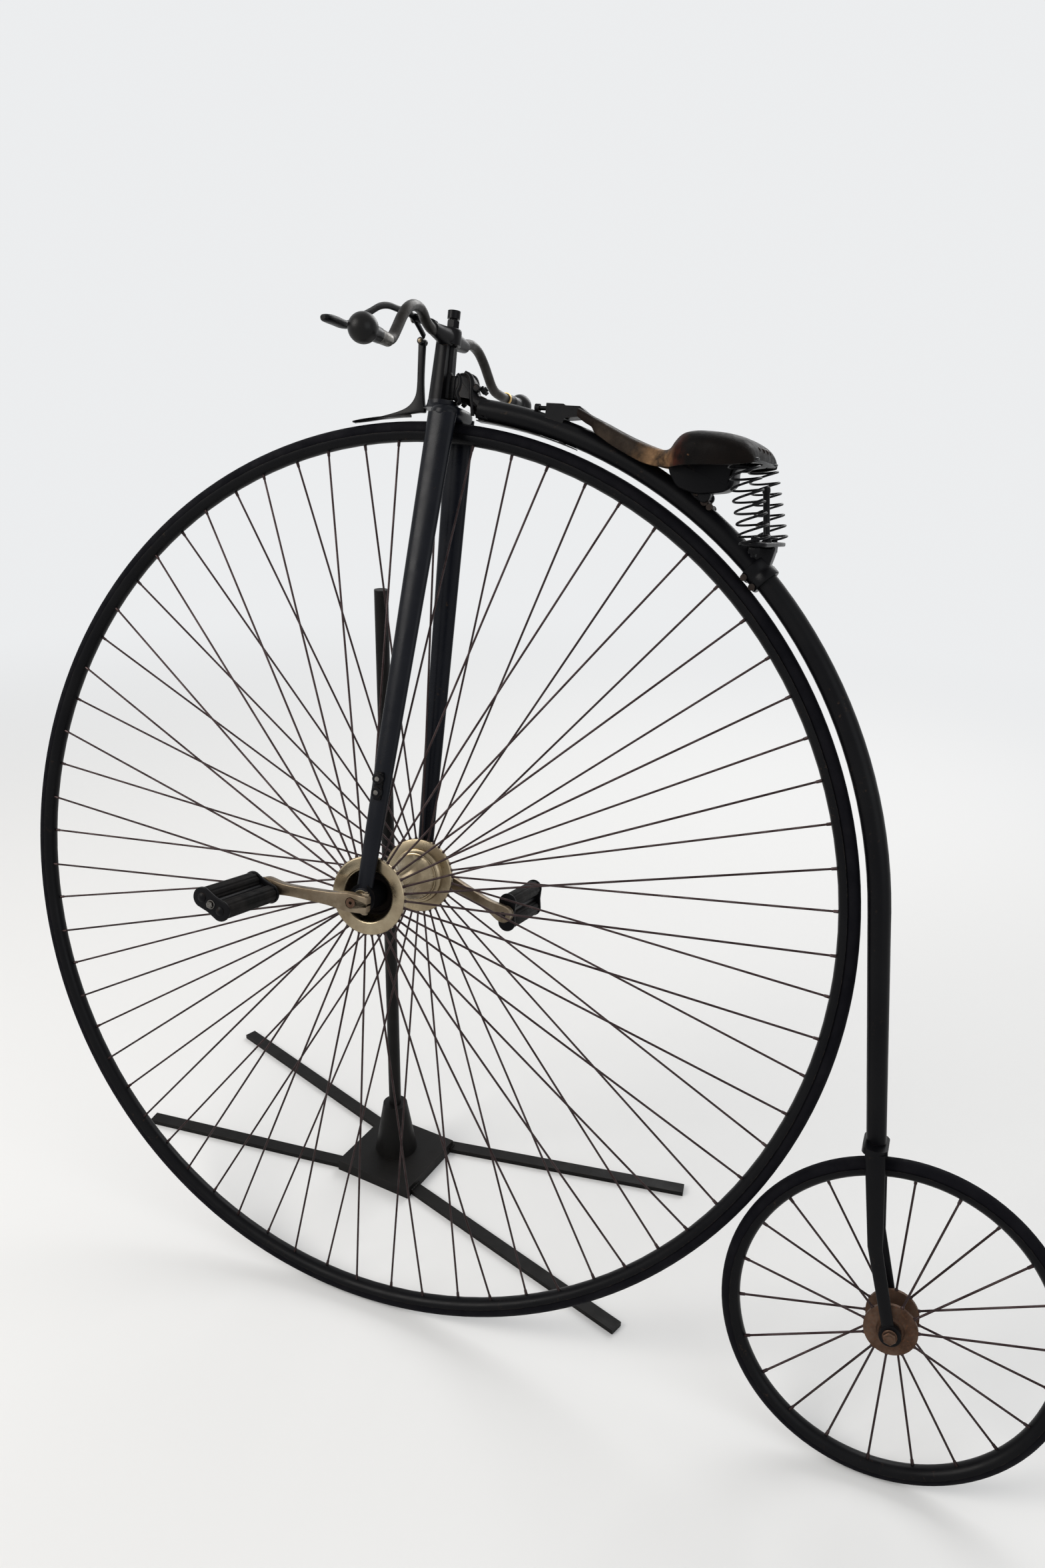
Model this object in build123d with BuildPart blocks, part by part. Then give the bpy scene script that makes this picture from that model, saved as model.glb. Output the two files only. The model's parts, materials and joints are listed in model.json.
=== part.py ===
from build123d import *
import math
import os

os.makedirs("parts", exist_ok=True)

# High-wheel bicycle leaning on a display stand.
# The bicycle is drawn upright, in millimetres: +X to its rear, +Y to its right side, +Z up.
# It is drawn from the point where the big wheel meets the floor, and leaned at the end.
# The stored origin is the middle of the stand's foot, on the floor.

# Driving dimensions
LEAN = 14.0                 # degrees that the bicycle leans to its right, on to the stand
FRONT_RADIUS = 660.0        # 52 inch wheel
REAR_RADIUS = 222.0
WHEEL_GAP = 5.6             # between the two tyres
STEER_X = 8.0               # the steering axis is upright and just behind the head's centre
RUNNING_GAP = 5.5           # between a tyre and what passes close to it

# Tyres and rims
TYRE_SECTION = 11.0         # radius of the solid rubber section
TYRE_SIDES = 10             # the section is drawn as a polygon
RIM_WIDTH = 25.0
RIM_SEAT = 5.0              # the rim's section is centred this far inside the tyre's section
RIM_DEPTH = 28.0            # tyre and rim together
REAR_RIM_DEPTH = 25.0

# Spokes
FRONT_SPOKES = 70
REAR_SPOKES = 22
SPOKE_RADIUS = 1.5
SPOKE_GAP = 0.3
SPOKE_RIM_OFFSET = 3.0

# Front hub
FLANGE_RADIUS = 56.5
FLANGE_OUT = 83.0           # outer face of each flange, from the wheel's middle plane
FLANGE_THICK = 8.0
RECESS_RADIUS = 37.0
RECESS_DEPTH = 26.0
BELL_RADIUS = 33.0
BARREL_RADIUS = 16.0
AXLE_RADIUS = 7.5
AXLE_END = 1.5              # the axle shows this much short of the crank's outer face
BEARING_PLAY = 0.3

# Fork
BLADE_TOP_WIDE = 42.0
BLADE_LOW_WIDE = 24.0
BLADE_TOP_THICK = 18.0
BLADE_LOW_THICK = 13.0
BLADE_TOP_Y = 30.0
BLADE_GAP = 5.5             # between the blade's inner face and the flange
BLADE_LEAN_X = 19.0         # the crown's centre is behind the axle
CROWN_GAP = 6.0             # over the tyre
CROWN_HEIGHT = 13.0
BEARING_RADIUS = 20.0

# Head
HEAD_HEIGHT = 104.0         # over the crown
HEAD_LOW_RADIUS = 17.5
HEAD_TOP_RADIUS = 16.5
HEAD_X = 4.0
HEAD_ROUND = 2.5
SLOT_FOOT = 6.0             # solid head under the slot
SLOT_LID = 22.0             # solid head over the slot
SLOT_HALF = 8.5
SPINDLE_RADIUS = 5.5
SPINDLE_PLAY = 0.3

# Backbone
BACKBONE_RADIUS = 14.5
BACKBONE_GAP = 7.5          # between tyre and backbone
BACKBONE_START_X = 62.0
BACKBONE_TO = 8.0           # degrees up from the rear at the front hub, where it runs straight down
BACKBONE_END_RADIUS = 12.5
REAR_CROWN_THICK = 8.5
REAR_CROWN_GAP = 4.5        # over the rear tyre

# Handlebar
BAR_RADIUS = 6.8
BAR_BEND = 36.0
BAR_X = 4.0
BAR_END_X = 15.0            # the ends stand a little behind the middle
BAR_BELOW_TOP = 13.0        # where it passes through the head
BAR_HALF = 216.0
LUG_END = 52.0
LUG_ROOT_RADIUS = 12.5
LUG_END_RADIUS = 8.2
FERRULE_FROM = 190.0
FERRULE_RADIUS = 9.0
GRIP_RADIUS = 19.5
GRIP_NECK = 11.0
GRIP_LENGTH = 55.0

# Cranks and pedals
CRANK_LENGTH = 137.0
CRANK_FACE = 119.5          # inner face of the crank, from the wheel's middle plane
CRANK_THICK = 12.5
CRANK_BOSS = 14.0
CRANK_EYE = 13.0
CRANK_JAW = 25.0            # the split clamp reaches this far past the axle
CRANK_SPLIT = 2.5
LEFT_CRANK_ANGLE = -1.2     # degrees that the left crank stands above forward
RIGHT_CRANK_ANGLE = 200.0   # the right crank hangs below straight back
PEDAL_PIN = 5.0
PEDAL_START = 5.0           # from the crank's outer face to the inner plate
PEDAL_LENGTH = 119.0        # over both plates
PEDAL_PLATE = 4.0
PEDAL_TREAD = 32.0          # between the middles of the two rubbers
LOBE_RADIUS = 14.0
RUBBER_RADIUS = 12.0
LEFT_PEDAL_TILT = 24.0      # degrees that the pedal's front edge is up
RIGHT_PEDAL_TILT = 86.0

# Stand
POST_X = -92.0
POST_Y = 307.0
POST_TOP = 1040.0
POST_RADIUS = 10.5
PLATE_X = -87.0
PLATE_Y = 297.0
PLATE_SIDE = 148.0
PLATE_THICK = 20.0
PLATE_TURN = -7.0
SOCKET_LOW_RADIUS = 37.0
SOCKET_TOP_RADIUS = 21.0
SOCKET_HEIGHT = 97.0
LEG_WIDE = 22.0
LEG_THICK = 8.0

# Brake lever and spoon
LEVER_X = -27.0
LEVER_THICK = 3.6
LEVER_WIDE = 9.0
SPOON_TIP_X = -131.0
SPOON_THICK = 4.0
SPOON_WIDE = 16.0
SPOON_BAR_WIDE = 7.0

# Derived places
HUB_Z = FRONT_RADIUS
REAR_Z = REAR_RADIUS
WHEELBASE = math.sqrt((FRONT_RADIUS + REAR_RADIUS + WHEEL_GAP) ** 2 - (FRONT_RADIUS - REAR_RADIUS) ** 2)
FRONT_AXIS = Axis((0, 0, HUB_Z), (0, 1, 0))
REAR_AXIS = Axis((WHEELBASE, 0, REAR_Z), (0, 1, 0))
BACKBONE_R = FRONT_RADIUS + BACKBONE_GAP + BACKBONE_RADIUS
BACKBONE_FROM = math.degrees(math.acos(BACKBONE_START_X / BACKBONE_R))
WHEEL_TOP = 2 * FRONT_RADIUS
CROWN_Z = WHEEL_TOP + CROWN_GAP
HEAD_FOOT = CROWN_Z + CROWN_HEIGHT
HEAD_TOP = HEAD_FOOT + HEAD_HEIGHT
SLOT_LOW = HEAD_FOOT + SLOT_FOOT
SLOT_TOP = HEAD_TOP - SLOT_LID
BAR_Z = HEAD_TOP - BAR_BELOW_TOP
BAR_END_Z = BAR_Z - 42
COLLAR_Z = 2 * REAR_RADIUS + REAR_CROWN_GAP + REAR_CROWN_THICK
AXLE_HALF = CRANK_FACE + CRANK_THICK - AXLE_END


def round_the_hub(radius, degrees):
    """Point in the wheel's plane at a radius and an angle from the rear, round the front hub."""
    a = math.radians(degrees)
    return (radius * math.cos(a), 0, HUB_Z + radius * math.sin(a))


def backbone_z(x):
    """Height of the backbone's middle line at a distance behind the front hub."""
    return HUB_Z + math.sqrt(BACKBONE_R**2 - x**2)


# Front wheel
with BuildPart() as front_tyre:
    with BuildSketch(Plane.YZ) as tyre_section:
        with Locations((0, HUB_Z + FRONT_RADIUS - TYRE_SECTION)):
            RegularPolygon(TYRE_SECTION, TYRE_SIDES, rotation=90)
    revolve(axis=FRONT_AXIS)

with BuildPart() as front_rim:
    with BuildSketch(Plane.YZ) as rim_section:
        rim_at = HUB_Z + FRONT_RADIUS - RIM_DEPTH + RIM_WIDTH / 2
        with Locations((0, rim_at)):
            Circle(RIM_WIDTH / 2)
        with Locations((0, rim_at + RIM_WIDTH / 2)):
            Rectangle(RIM_WIDTH, RIM_WIDTH, mode=Mode.SUBTRACT)
        with Locations((0, HUB_Z + FRONT_RADIUS - TYRE_SECTION)):
            RegularPolygon(TYRE_SECTION, TYRE_SIDES, rotation=90, mode=Mode.SUBTRACT)
    revolve(axis=FRONT_AXIS)

with BuildPart() as front_hub:
    with BuildSketch(Plane.YZ) as hub_section:
        with BuildLine():
            Polyline(
                (0, HUB_Z + AXLE_RADIUS),
                (0, HUB_Z + BARREL_RADIUS),
                (30, HUB_Z + BARREL_RADIUS + 2),
                (40, HUB_Z + BELL_RADIUS - 10),
                (49, HUB_Z + BELL_RADIUS - 2),
                (60, HUB_Z + BELL_RADIUS + 2),
                (70, HUB_Z + BELL_RADIUS + 4),
                (71.5, HUB_Z + BELL_RADIUS + 7.5),
                (FLANGE_OUT - FLANGE_THICK, HUB_Z + BELL_RADIUS + 7.5),
                (FLANGE_OUT - FLANGE_THICK, HUB_Z + FLANGE_RADIUS),
                (FLANGE_OUT - 2, HUB_Z + FLANGE_RADIUS),
                (FLANGE_OUT, HUB_Z + FLANGE_RADIUS - 2),
                (FLANGE_OUT, HUB_Z + RECESS_RADIUS + 1.5),
                (FLANGE_OUT - 1.5, HUB_Z + RECESS_RADIUS),
                (FLANGE_OUT - RECESS_DEPTH, HUB_Z + BELL_RADIUS - 5),
                (FLANGE_OUT - RECESS_DEPTH, HUB_Z + AXLE_RADIUS),
                close=True,
            )
        make_face()
        mirror(about=Plane.YZ)
    revolve(axis=FRONT_AXIS)

with BuildPart() as front_axle:
    with BuildSketch(Plane.XZ.offset(-AXLE_HALF)):
        with Locations((0, HUB_Z)):
            Circle(AXLE_RADIUS)
    extrude(amount=2 * AXLE_HALF)

with BuildPart() as front_spokes:
    for i in range(FRONT_SPOKES):
        side = 1 if i % 2 else -1
        turn = math.radians((i + 0.5) * 360 / FRONT_SPOKES)
        inner = FLANGE_RADIUS + SPOKE_GAP
        outer = FRONT_RADIUS - RIM_DEPTH - SPOKE_GAP
        foot = Vector(
            inner * math.cos(turn), side * (FLANGE_OUT - FLANGE_THICK / 2), HUB_Z + inner * math.sin(turn)
        )
        tip = Vector(outer * math.cos(turn), side * SPOKE_RIM_OFFSET, HUB_Z + outer * math.sin(turn))
        with BuildSketch(Plane(origin=foot, z_dir=tip - foot)):
            Circle(SPOKE_RADIUS)
        extrude(amount=(tip - foot).length)

# Cranks and pedals, (name, side, angle of the crank, tilt of the pedal), both angles up from forward
CRANKS = (
    ("left", -1, LEFT_CRANK_ANGLE, LEFT_PEDAL_TILT),
    ("right", 1, RIGHT_CRANK_ANGLE, RIGHT_PEDAL_TILT),
)


def forward_up(degrees):
    """Direction in the wheel's plane that stands so many degrees above straight forward."""
    return Vector(-math.cos(math.radians(degrees)), 0, math.sin(math.radians(degrees)))


crank_parts = []
pedal_parts = []
for name, side, turn, tilt in CRANKS:
    across = Vector(0, side, 0)
    hub = Vector(0, side * CRANK_FACE, HUB_Z)
    end = hub + forward_up(turn) * CRANK_LENGTH
    crank_plane = Plane(origin=hub, x_dir=forward_up(turn), z_dir=across)
    pedal_plane = Plane(origin=end + across * CRANK_THICK, x_dir=forward_up(tilt), z_dir=across)
    with BuildPart() as crank:
        with BuildSketch(crank_plane):
            with BuildLine():
                Polyline(
                    (0, -CRANK_BOSS * 0.8), (30, -9.8), (CRANK_LENGTH - 42, -7.2), (CRANK_LENGTH - 22, -8.5),
                    (CRANK_LENGTH, -CRANK_EYE), (CRANK_LENGTH, CRANK_EYE), (CRANK_LENGTH - 22, 8.5),
                    (CRANK_LENGTH - 42, 7.2), (30, 9.8), (0, CRANK_BOSS * 0.8), close=True,
                )
            make_face()
            Circle(CRANK_BOSS)
            with Locations((CRANK_LENGTH, 0)):
                Circle(CRANK_EYE)
            with Locations((-CRANK_JAW / 2, 0)):
                Rectangle(CRANK_JAW, 1.7 * CRANK_BOSS)
            with Locations((-CRANK_JAW / 2, 0)):
                Rectangle(CRANK_JAW + 1, CRANK_SPLIT, mode=Mode.SUBTRACT)
            Circle(AXLE_RADIUS, mode=Mode.SUBTRACT)
            with Locations((CRANK_LENGTH, 0)):
                Circle(PEDAL_PIN + BEARING_PLAY, mode=Mode.SUBTRACT)
        extrude(amount=CRANK_THICK)
        pinch_plane = Plane(origin=hub + across * CRANK_THICK / 2, x_dir=forward_up(turn), z_dir=forward_up(turn + 90))
        with BuildSketch(pinch_plane):
            with Locations((-CRANK_JAW + 5, 0)):
                Circle(2.5)
        extrude(amount=1.2 * CRANK_BOSS, both=True)
    crank_parts.append((name, crank))
    lobes = ((-PEDAL_TREAD / 2, 0), (PEDAL_TREAD / 2, 0))
    with BuildPart() as pedal:
        with BuildSketch(pedal_plane.offset(-CRANK_THICK)):
            Circle(PEDAL_PIN)
        extrude(amount=CRANK_THICK + PEDAL_START + PEDAL_LENGTH + 6)
        with BuildSketch(pedal_plane.offset(1)):
            Circle(8.5)
        extrude(amount=PEDAL_START - 1)
        for at in (PEDAL_START, PEDAL_START + PEDAL_LENGTH - PEDAL_PLATE):
            with BuildSketch(pedal_plane.offset(at)):
                with Locations(*lobes):
                    Circle(LOBE_RADIUS)
                Rectangle(PEDAL_TREAD, 1.3 * LOBE_RADIUS)
            extrude(amount=PEDAL_PLATE)
    with BuildPart() as rubbers:
        with BuildSketch(pedal_plane.offset(PEDAL_START + PEDAL_PLATE)):
            with Locations(*lobes):
                Circle(RUBBER_RADIUS)
        extrude(amount=PEDAL_LENGTH - 2 * PEDAL_PLATE)
        add(pedal.part, mode=Mode.SUBTRACT)
    pedal_parts.append((name, pedal, rubbers))

left_crank, right_crank = crank_parts[0][1], crank_parts[1][1]
left_pedal, left_pedal_rubbers = pedal_parts[0][1:]
right_pedal, right_pedal_rubbers = pedal_parts[1][1:]

# Fork: two tapering oval blades, each down to a bearing sunk in the hub's flange
BLADE_LOW_Y = FLANGE_OUT + BLADE_GAP + BLADE_LOW_THICK / 2
with BuildPart() as fork:
    for side in (-1, 1):
        with BuildSketch(Plane.XY.offset(CROWN_Z)):
            with Locations((BLADE_LEAN_X, side * BLADE_TOP_Y)):
                Ellipse(BLADE_TOP_WIDE / 2, BLADE_TOP_THICK / 2)
        with BuildSketch(Plane.XY.offset(HUB_Z + 4)):
            with Locations((0, side * BLADE_LOW_Y)):
                Ellipse(BLADE_LOW_WIDE / 2, BLADE_LOW_THICK / 2)
        loft()
    with BuildSketch(Plane.XY.offset(CROWN_Z)):
        with Locations((BLADE_LEAN_X, 0)):
            SlotOverall(2 * BLADE_TOP_Y + BLADE_TOP_THICK, BLADE_TOP_WIDE, rotation=90)
    extrude(amount=CROWN_HEIGHT)

fork_bearings = []
for side in (-1, 1):
    with BuildPart() as bearing:
        with BuildSketch(Plane(origin=(0, side * (FLANGE_OUT - RECESS_DEPTH + 5), HUB_Z), z_dir=(0, side, 0))):
            Circle(BEARING_RADIUS)
            Circle(AXLE_RADIUS + BEARING_PLAY, mode=Mode.SUBTRACT)
        extrude(amount=BLADE_LOW_Y - BLADE_LOW_THICK / 2 - FLANGE_OUT + RECESS_DEPTH - 5 + BLADE_LOW_THICK - 2)
    fork_bearings.append(bearing)
left_fork_bearing, right_fork_bearing = fork_bearings

# Cut the blades round their bearings
with BuildPart() as fork_cut:
    add(fork.part)
    with BuildSketch(Plane.XZ.offset(-AXLE_HALF)):
        with Locations((0, HUB_Z)):
            Circle(BEARING_RADIUS)
    extrude(amount=2 * AXLE_HALF, mode=Mode.SUBTRACT)
fork = fork_cut

# Head: an upright column with a lug for each half of the bar, open at the back for the neck's spindle
with BuildPart() as head_column:
    with BuildSketch(Plane.XY.offset(HEAD_FOOT)):
        with Locations((HEAD_X, 0)):
            Circle(HEAD_LOW_RADIUS)
    with BuildSketch(Plane.XY.offset(HEAD_TOP - HEAD_ROUND)):
        with Locations((HEAD_X, 0)):
            Circle(HEAD_TOP_RADIUS)
    loft()
    with BuildSketch(Plane.XY.offset(HEAD_TOP - HEAD_ROUND)):
        with Locations((HEAD_X, 0)):
            Circle(HEAD_TOP_RADIUS)
    extrude(amount=HEAD_ROUND, taper=35)
    with BuildSketch(Plane.XY.offset(SLOT_LOW)):
        with Locations((STEER_X + 15, 0)):
            Rectangle(50, 2 * SLOT_HALF)
        with Locations((STEER_X + 27, 0)):
            Rectangle(50, 60)
    extrude(amount=SLOT_TOP - SLOT_LOW, mode=Mode.SUBTRACT)
    for side in (-1, 1):
        with BuildSketch(Plane(origin=(BAR_X, side * SLOT_HALF, BAR_Z), z_dir=(0, side, 0))):
            Circle(LUG_ROOT_RADIUS)
        with BuildSketch(Plane(origin=(BAR_X, side * LUG_END, BAR_Z + 1), z_dir=(0, side, 0))):
            Circle(LUG_END_RADIUS)
        loft()
    with BuildSketch(Plane.XZ.offset(LUG_END - 14)):
        with BuildLine():
            Polyline(
                (BAR_X, BAR_Z - 4), (LEVER_X + 3, BAR_Z + 7), (LEVER_X + 3, BAR_Z + 20), (LEVER_X + 12, BAR_Z + 21),
                (BAR_X + 2, BAR_Z + 6), close=True,
            )
        make_face()
    extrude(amount=12)

with BuildPart() as head_bolt:
    with BuildSketch(Plane.XY.offset(HEAD_TOP)):
        with Locations((STEER_X, 0)):
            RegularPolygon(9, 6)
    extrude(amount=10)
    with BuildSketch(Plane.XY.offset(HEAD_TOP + 10)):
        with Locations((STEER_X, 0)):
            Circle(5.5)
    extrude(amount=2.5)
    with BuildSketch(Plane.XY.offset(HEAD_TOP + 12.5)):
        with Locations((STEER_X, 0)):
            Circle(8.7)
    extrude(amount=10.5)

# Handlebar, (x, distance from the middle, rise from its root) of the corners that it bends round
BAR_CORNERS = (
    (BAR_END_X, BAR_HALF, -42),
    (BAR_END_X, 176, -42),
    (BAR_X + 4, 122, 16),
    (BAR_X, 82, 16),
    (BAR_X, 54, 0),
)
with BuildPart() as handlebar:
    with BuildLine() as bar_line:
        FilletPolyline(
            *[(x, -y, BAR_Z + rise) for x, y, rise in BAR_CORNERS],
            *[(x, y, BAR_Z + rise) for x, y, rise in reversed(BAR_CORNERS)],
            radius=BAR_BEND,
        )
    with BuildSketch(Plane(origin=bar_line.line @ 0, z_dir=bar_line.line % 0)):
        Circle(BAR_RADIUS)
    sweep(path=bar_line.line)

with BuildPart() as steering_head:
    add(head_column.part)
    add(handlebar.part, mode=Mode.SUBTRACT)

grips = []
ferrules = []
for side in (-1, 1):
    ball_end = BAR_HALF + GRIP_LENGTH
    ball_y = ball_end - GRIP_RADIUS
    neck_y = ball_y - math.sqrt(GRIP_RADIUS**2 - GRIP_NECK**2)
    with BuildPart() as grip:
        with BuildSketch(Plane.YZ.offset(BAR_END_X)):
            with BuildLine():
                Polyline(
                    (side * BAR_HALF, BAR_END_Z), (side * BAR_HALF, BAR_END_Z + FERRULE_RADIUS),
                    (side * neck_y, BAR_END_Z + GRIP_NECK),
                )
                ThreePointArc(
                    (side * neck_y, BAR_END_Z + GRIP_NECK),
                    (side * ball_y, BAR_END_Z + GRIP_RADIUS),
                    (side * ball_end, BAR_END_Z),
                )
                Line((side * ball_end, BAR_END_Z), (side * BAR_HALF, BAR_END_Z))
            make_face()
        revolve(axis=Axis((BAR_END_X, 0, BAR_END_Z), (0, 1, 0)))
    grips.append(grip)
    with BuildPart() as ferrule:
        with BuildSketch(Plane(origin=(BAR_END_X, side * FERRULE_FROM, BAR_END_Z), z_dir=(0, side, 0))):
            Circle(FERRULE_RADIUS - 1)
        with BuildSketch(Plane(origin=(BAR_END_X, side * BAR_HALF, BAR_END_Z), z_dir=(0, side, 0))):
            Circle(FERRULE_RADIUS)
        loft()
        add(handlebar.part, mode=Mode.SUBTRACT)
    ferrules.append(ferrule)
left_grip, right_grip = grips
left_ferrule, right_ferrule = ferrules

# Brake: a bar hung in front of the head that ends in a thin spoon along the tyre, and a strap lever
SPOON_R = FRONT_RADIUS + RUNNING_GAP
SPOON_TOP = HEAD_TOP - 10
with BuildPart() as brake_spoon:
    with BuildSketch(Plane.XZ.offset(-SPOON_WIDE / 2)):
        tip_angle = math.degrees(math.acos(SPOON_TIP_X / SPOON_R))
        root_angle = math.degrees(math.acos(-25 / SPOON_R))
        with BuildLine():
            under = CenterArc((0, HUB_Z), SPOON_R, root_angle, tip_angle - root_angle)
            Polyline(
                under @ 0, (-38, WHEEL_TOP + 13), (-62, WHEEL_TOP + 9), (-91, WHEEL_TOP + 4.5),
                (SPOON_TIP_X, under.position_at(1).Y + SPOON_THICK), under @ 1,
            )
        make_face()
    extrude(amount=SPOON_WIDE)
    with BuildSketch(Plane.XZ.offset(-SPOON_BAR_WIDE / 2)):
        with BuildLine():
            Polyline(
                (-24, WHEEL_TOP + 6), (-27, WHEEL_TOP + 20), (-29, WHEEL_TOP + 36), (-33, SPOON_TOP),
                (-40, SPOON_TOP), (-36, WHEEL_TOP + 36), (-40, WHEEL_TOP + 21), (-62, WHEEL_TOP + 9), close=True,
            )
        make_face()
    extrude(amount=SPOON_BAR_WIDE)
    with BuildSketch(Plane.XZ.offset(-8)):
        with Locations((-36, SPOON_TOP - 4)):
            Circle(4.5)
    extrude(amount=16)

# Strap, (distance to the left, rise from the bar's root)
LEVER_STATIONS = ((14, -1), (51, 16), (95, 12), (134, 8), (182, -16), (226, -43))
PADDLE_LENGTH = 60.0
PADDLE_WIDE = 14.0
PADDLE_THICK = 6.0
with BuildPart() as brake_lever:
    with BuildSketch(Plane.YZ.offset(LEVER_X - LEVER_THICK / 2)):
        with BuildLine() as lever_line:
            FilletPolyline(*[(-y, BAR_Z + rise) for y, rise in LEVER_STATIONS], radius=20)
        trace(line_width=LEVER_WIDE)
    extrude(amount=LEVER_THICK)
    with BuildSketch(Plane.XY.offset(BAR_Z - 46)):
        with Locations((LEVER_X + 3, -226 - PADDLE_LENGTH / 2)):
            SlotOverall(PADDLE_LENGTH + 10, PADDLE_WIDE, rotation=90)
    extrude(amount=PADDLE_THICK)
    for x0, long, radius in ((LEVER_X - 4, 16, 3), (LEVER_X - 5, 3.2, 6)):
        with BuildSketch(Plane.YZ.offset(x0)):
            with Locations((-LUG_END + 8, BAR_Z + 15)):
                Circle(radius)
        extrude(amount=long)
    add(head_column.part, mode=Mode.SUBTRACT)
    add(brake_spoon.part, mode=Mode.SUBTRACT)

LAMP_Z = HUB_Z + 158
lamp_y = BLADE_LOW_Y + (BLADE_TOP_Y - BLADE_LOW_Y) * (LAMP_Z - HUB_Z) / (CROWN_Z - HUB_Z)
with BuildPart() as lamp_bracket:
    with BuildSketch(Plane.XZ.offset(lamp_y + 5)):
        with Locations((0, LAMP_Z)):
            Rectangle(12, 42)
    extrude(amount=7)
    add(fork.part, mode=Mode.SUBTRACT)

# Backbone: round the wheel, then straight down to the rear fork
with BuildPart() as backbone:
    with BuildLine(Plane.XZ) as curve:
        CenterArc((0, HUB_Z), BACKBONE_R, BACKBONE_TO, BACKBONE_FROM - BACKBONE_TO)
    with BuildSketch(Plane(origin=curve.line @ 0, z_dir=curve.line % 0)):
        Circle(BACKBONE_RADIUS)
    sweep(path=curve.line)
    low = Vector(*round_the_hub(BACKBONE_R, BACKBONE_TO))
    run = low.Z - COLLAR_Z
    foot = Vector(low.X + run * math.tan(math.radians(BACKBONE_TO)), 0, COLLAR_Z)
    with BuildSketch(Plane(origin=low, z_dir=foot - low)):
        Circle(BACKBONE_RADIUS)
    with BuildSketch(Plane(origin=foot, z_dir=foot - low)):
        Circle(BACKBONE_END_RADIUS)
    loft()

# Neck: a casting with a tall web between two lower cheeks, (x, height over the slot's foot)
NECK_OUTLINE = (
    (24, 1), (24, 36), (29, 40), (41, 37), (49, 29), (54, 16), (62, 9), (72, 8), (72, -18), (59, -19), (52, -1),
)
NECK_TONGUE = 9.0              # width of the part that reaches into the head's slot
with BuildPart() as neck:
    for wide, shrink in ((11, 0), (25, 4)):
        with BuildSketch(Plane.XZ.offset(-wide / 2)):
            with BuildLine():
                Polyline(*[(x, SLOT_LOW + max(rise - shrink, min(rise, 1))) for x, rise in NECK_OUTLINE], close=True)
            make_face()
        extrude(amount=wide)
    with BuildSketch(Plane.XZ.offset(-9)):
        with Locations((57, SLOT_LOW + 20)):
            Circle(5.5)
    extrude(amount=18)
    with BuildSketch(Plane.XY.offset(SLOT_LOW + 4)):
        with Locations((STEER_X, 0)):
            Circle(7.5)
        with Locations((STEER_X + 10, 0)):
            Rectangle(20, NECK_TONGUE)
    extrude(amount=34)
    with BuildSketch(Plane.XY.offset(SLOT_LOW + SPINDLE_PLAY)):
        with Locations((STEER_X, 0)):
            Circle(SPINDLE_RADIUS)
    extrude(amount=SLOT_TOP - SLOT_LOW - 2 * SPINDLE_PLAY)
    add(backbone.part, mode=Mode.SUBTRACT)

# Mudguard: a thin strip over the tyre, held to the backbone by two stays
MUDGUARD_FROM_X = 60.0
MUDGUARD_TO_X = 203.0
MUDGUARD_THICK = 1.4
MUDGUARD_WIDE = 18.0
guard_r = FRONT_RADIUS + RUNNING_GAP
guard_from = math.degrees(math.acos(MUDGUARD_TO_X / guard_r))
guard_arc = math.degrees(math.acos(MUDGUARD_FROM_X / guard_r)) - guard_from
with BuildPart() as mudguard:
    with BuildSketch(Plane.XZ.offset(-MUDGUARD_WIDE / 2)):
        with BuildLine():
            inner = CenterArc((0, HUB_Z), guard_r, guard_from, guard_arc)
            outer = CenterArc((0, HUB_Z), guard_r + MUDGUARD_THICK, guard_from, guard_arc)
            Line(inner @ 0, outer @ 0)
            Line(inner @ 1, outer @ 1)
        make_face()
    extrude(amount=MUDGUARD_WIDE)
    for stay_x in (68, 188):
        stay_angle = math.degrees(math.acos(stay_x / BACKBONE_R))
        stay_foot = Vector(*round_the_hub(guard_r + MUDGUARD_THICK / 2, stay_angle))
        stay_way = Vector(*round_the_hub(1, stay_angle)) - Vector(0, 0, HUB_Z)
        with BuildSketch(Plane(origin=stay_foot, x_dir=(0, 1, 0), z_dir=stay_way)):
            Rectangle(10, 7)
        extrude(amount=6)
    add(backbone.part, mode=Mode.SUBTRACT)
    add(neck.part, mode=Mode.SUBTRACT)

# Rear fork, (height, centre from the front hub, centre from the middle plane, half width, half thickness)
REAR_BLADE = (
    (COLLAR_Z - REAR_CROWN_THICK / 2, foot.X + 1, 25.5, 13, 6),
    (REAR_Z + 108, WHEELBASE - 35, 30, 9.5, 5),
    (REAR_Z + 6, WHEELBASE - 3, 32, 8, 4),
)
REAR_EYE_Y = REAR_BLADE[-1][2]
with BuildPart() as rear_fork:
    for side in (-1, 1):
        for upper, lower in zip(REAR_BLADE, REAR_BLADE[1:]):
            for z, x, y, wide, thick in (upper, lower):
                with BuildSketch(Plane.XY.offset(z)):
                    with Locations((x, side * y)):
                        Ellipse(wide, thick)
            loft()
        with BuildSketch(Plane.XZ.offset(-side * REAR_EYE_Y - 4)):
            with Locations((WHEELBASE, REAR_Z)):
                Circle(14)
        extrude(amount=8)
    with BuildSketch(Plane.XY.offset(COLLAR_Z - REAR_CROWN_THICK)):
        with Locations((foot.X, 0)):
            SlotOverall(64, 32, rotation=90)
    extrude(amount=REAR_CROWN_THICK)
    add(backbone.part, mode=Mode.SUBTRACT)

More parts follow.
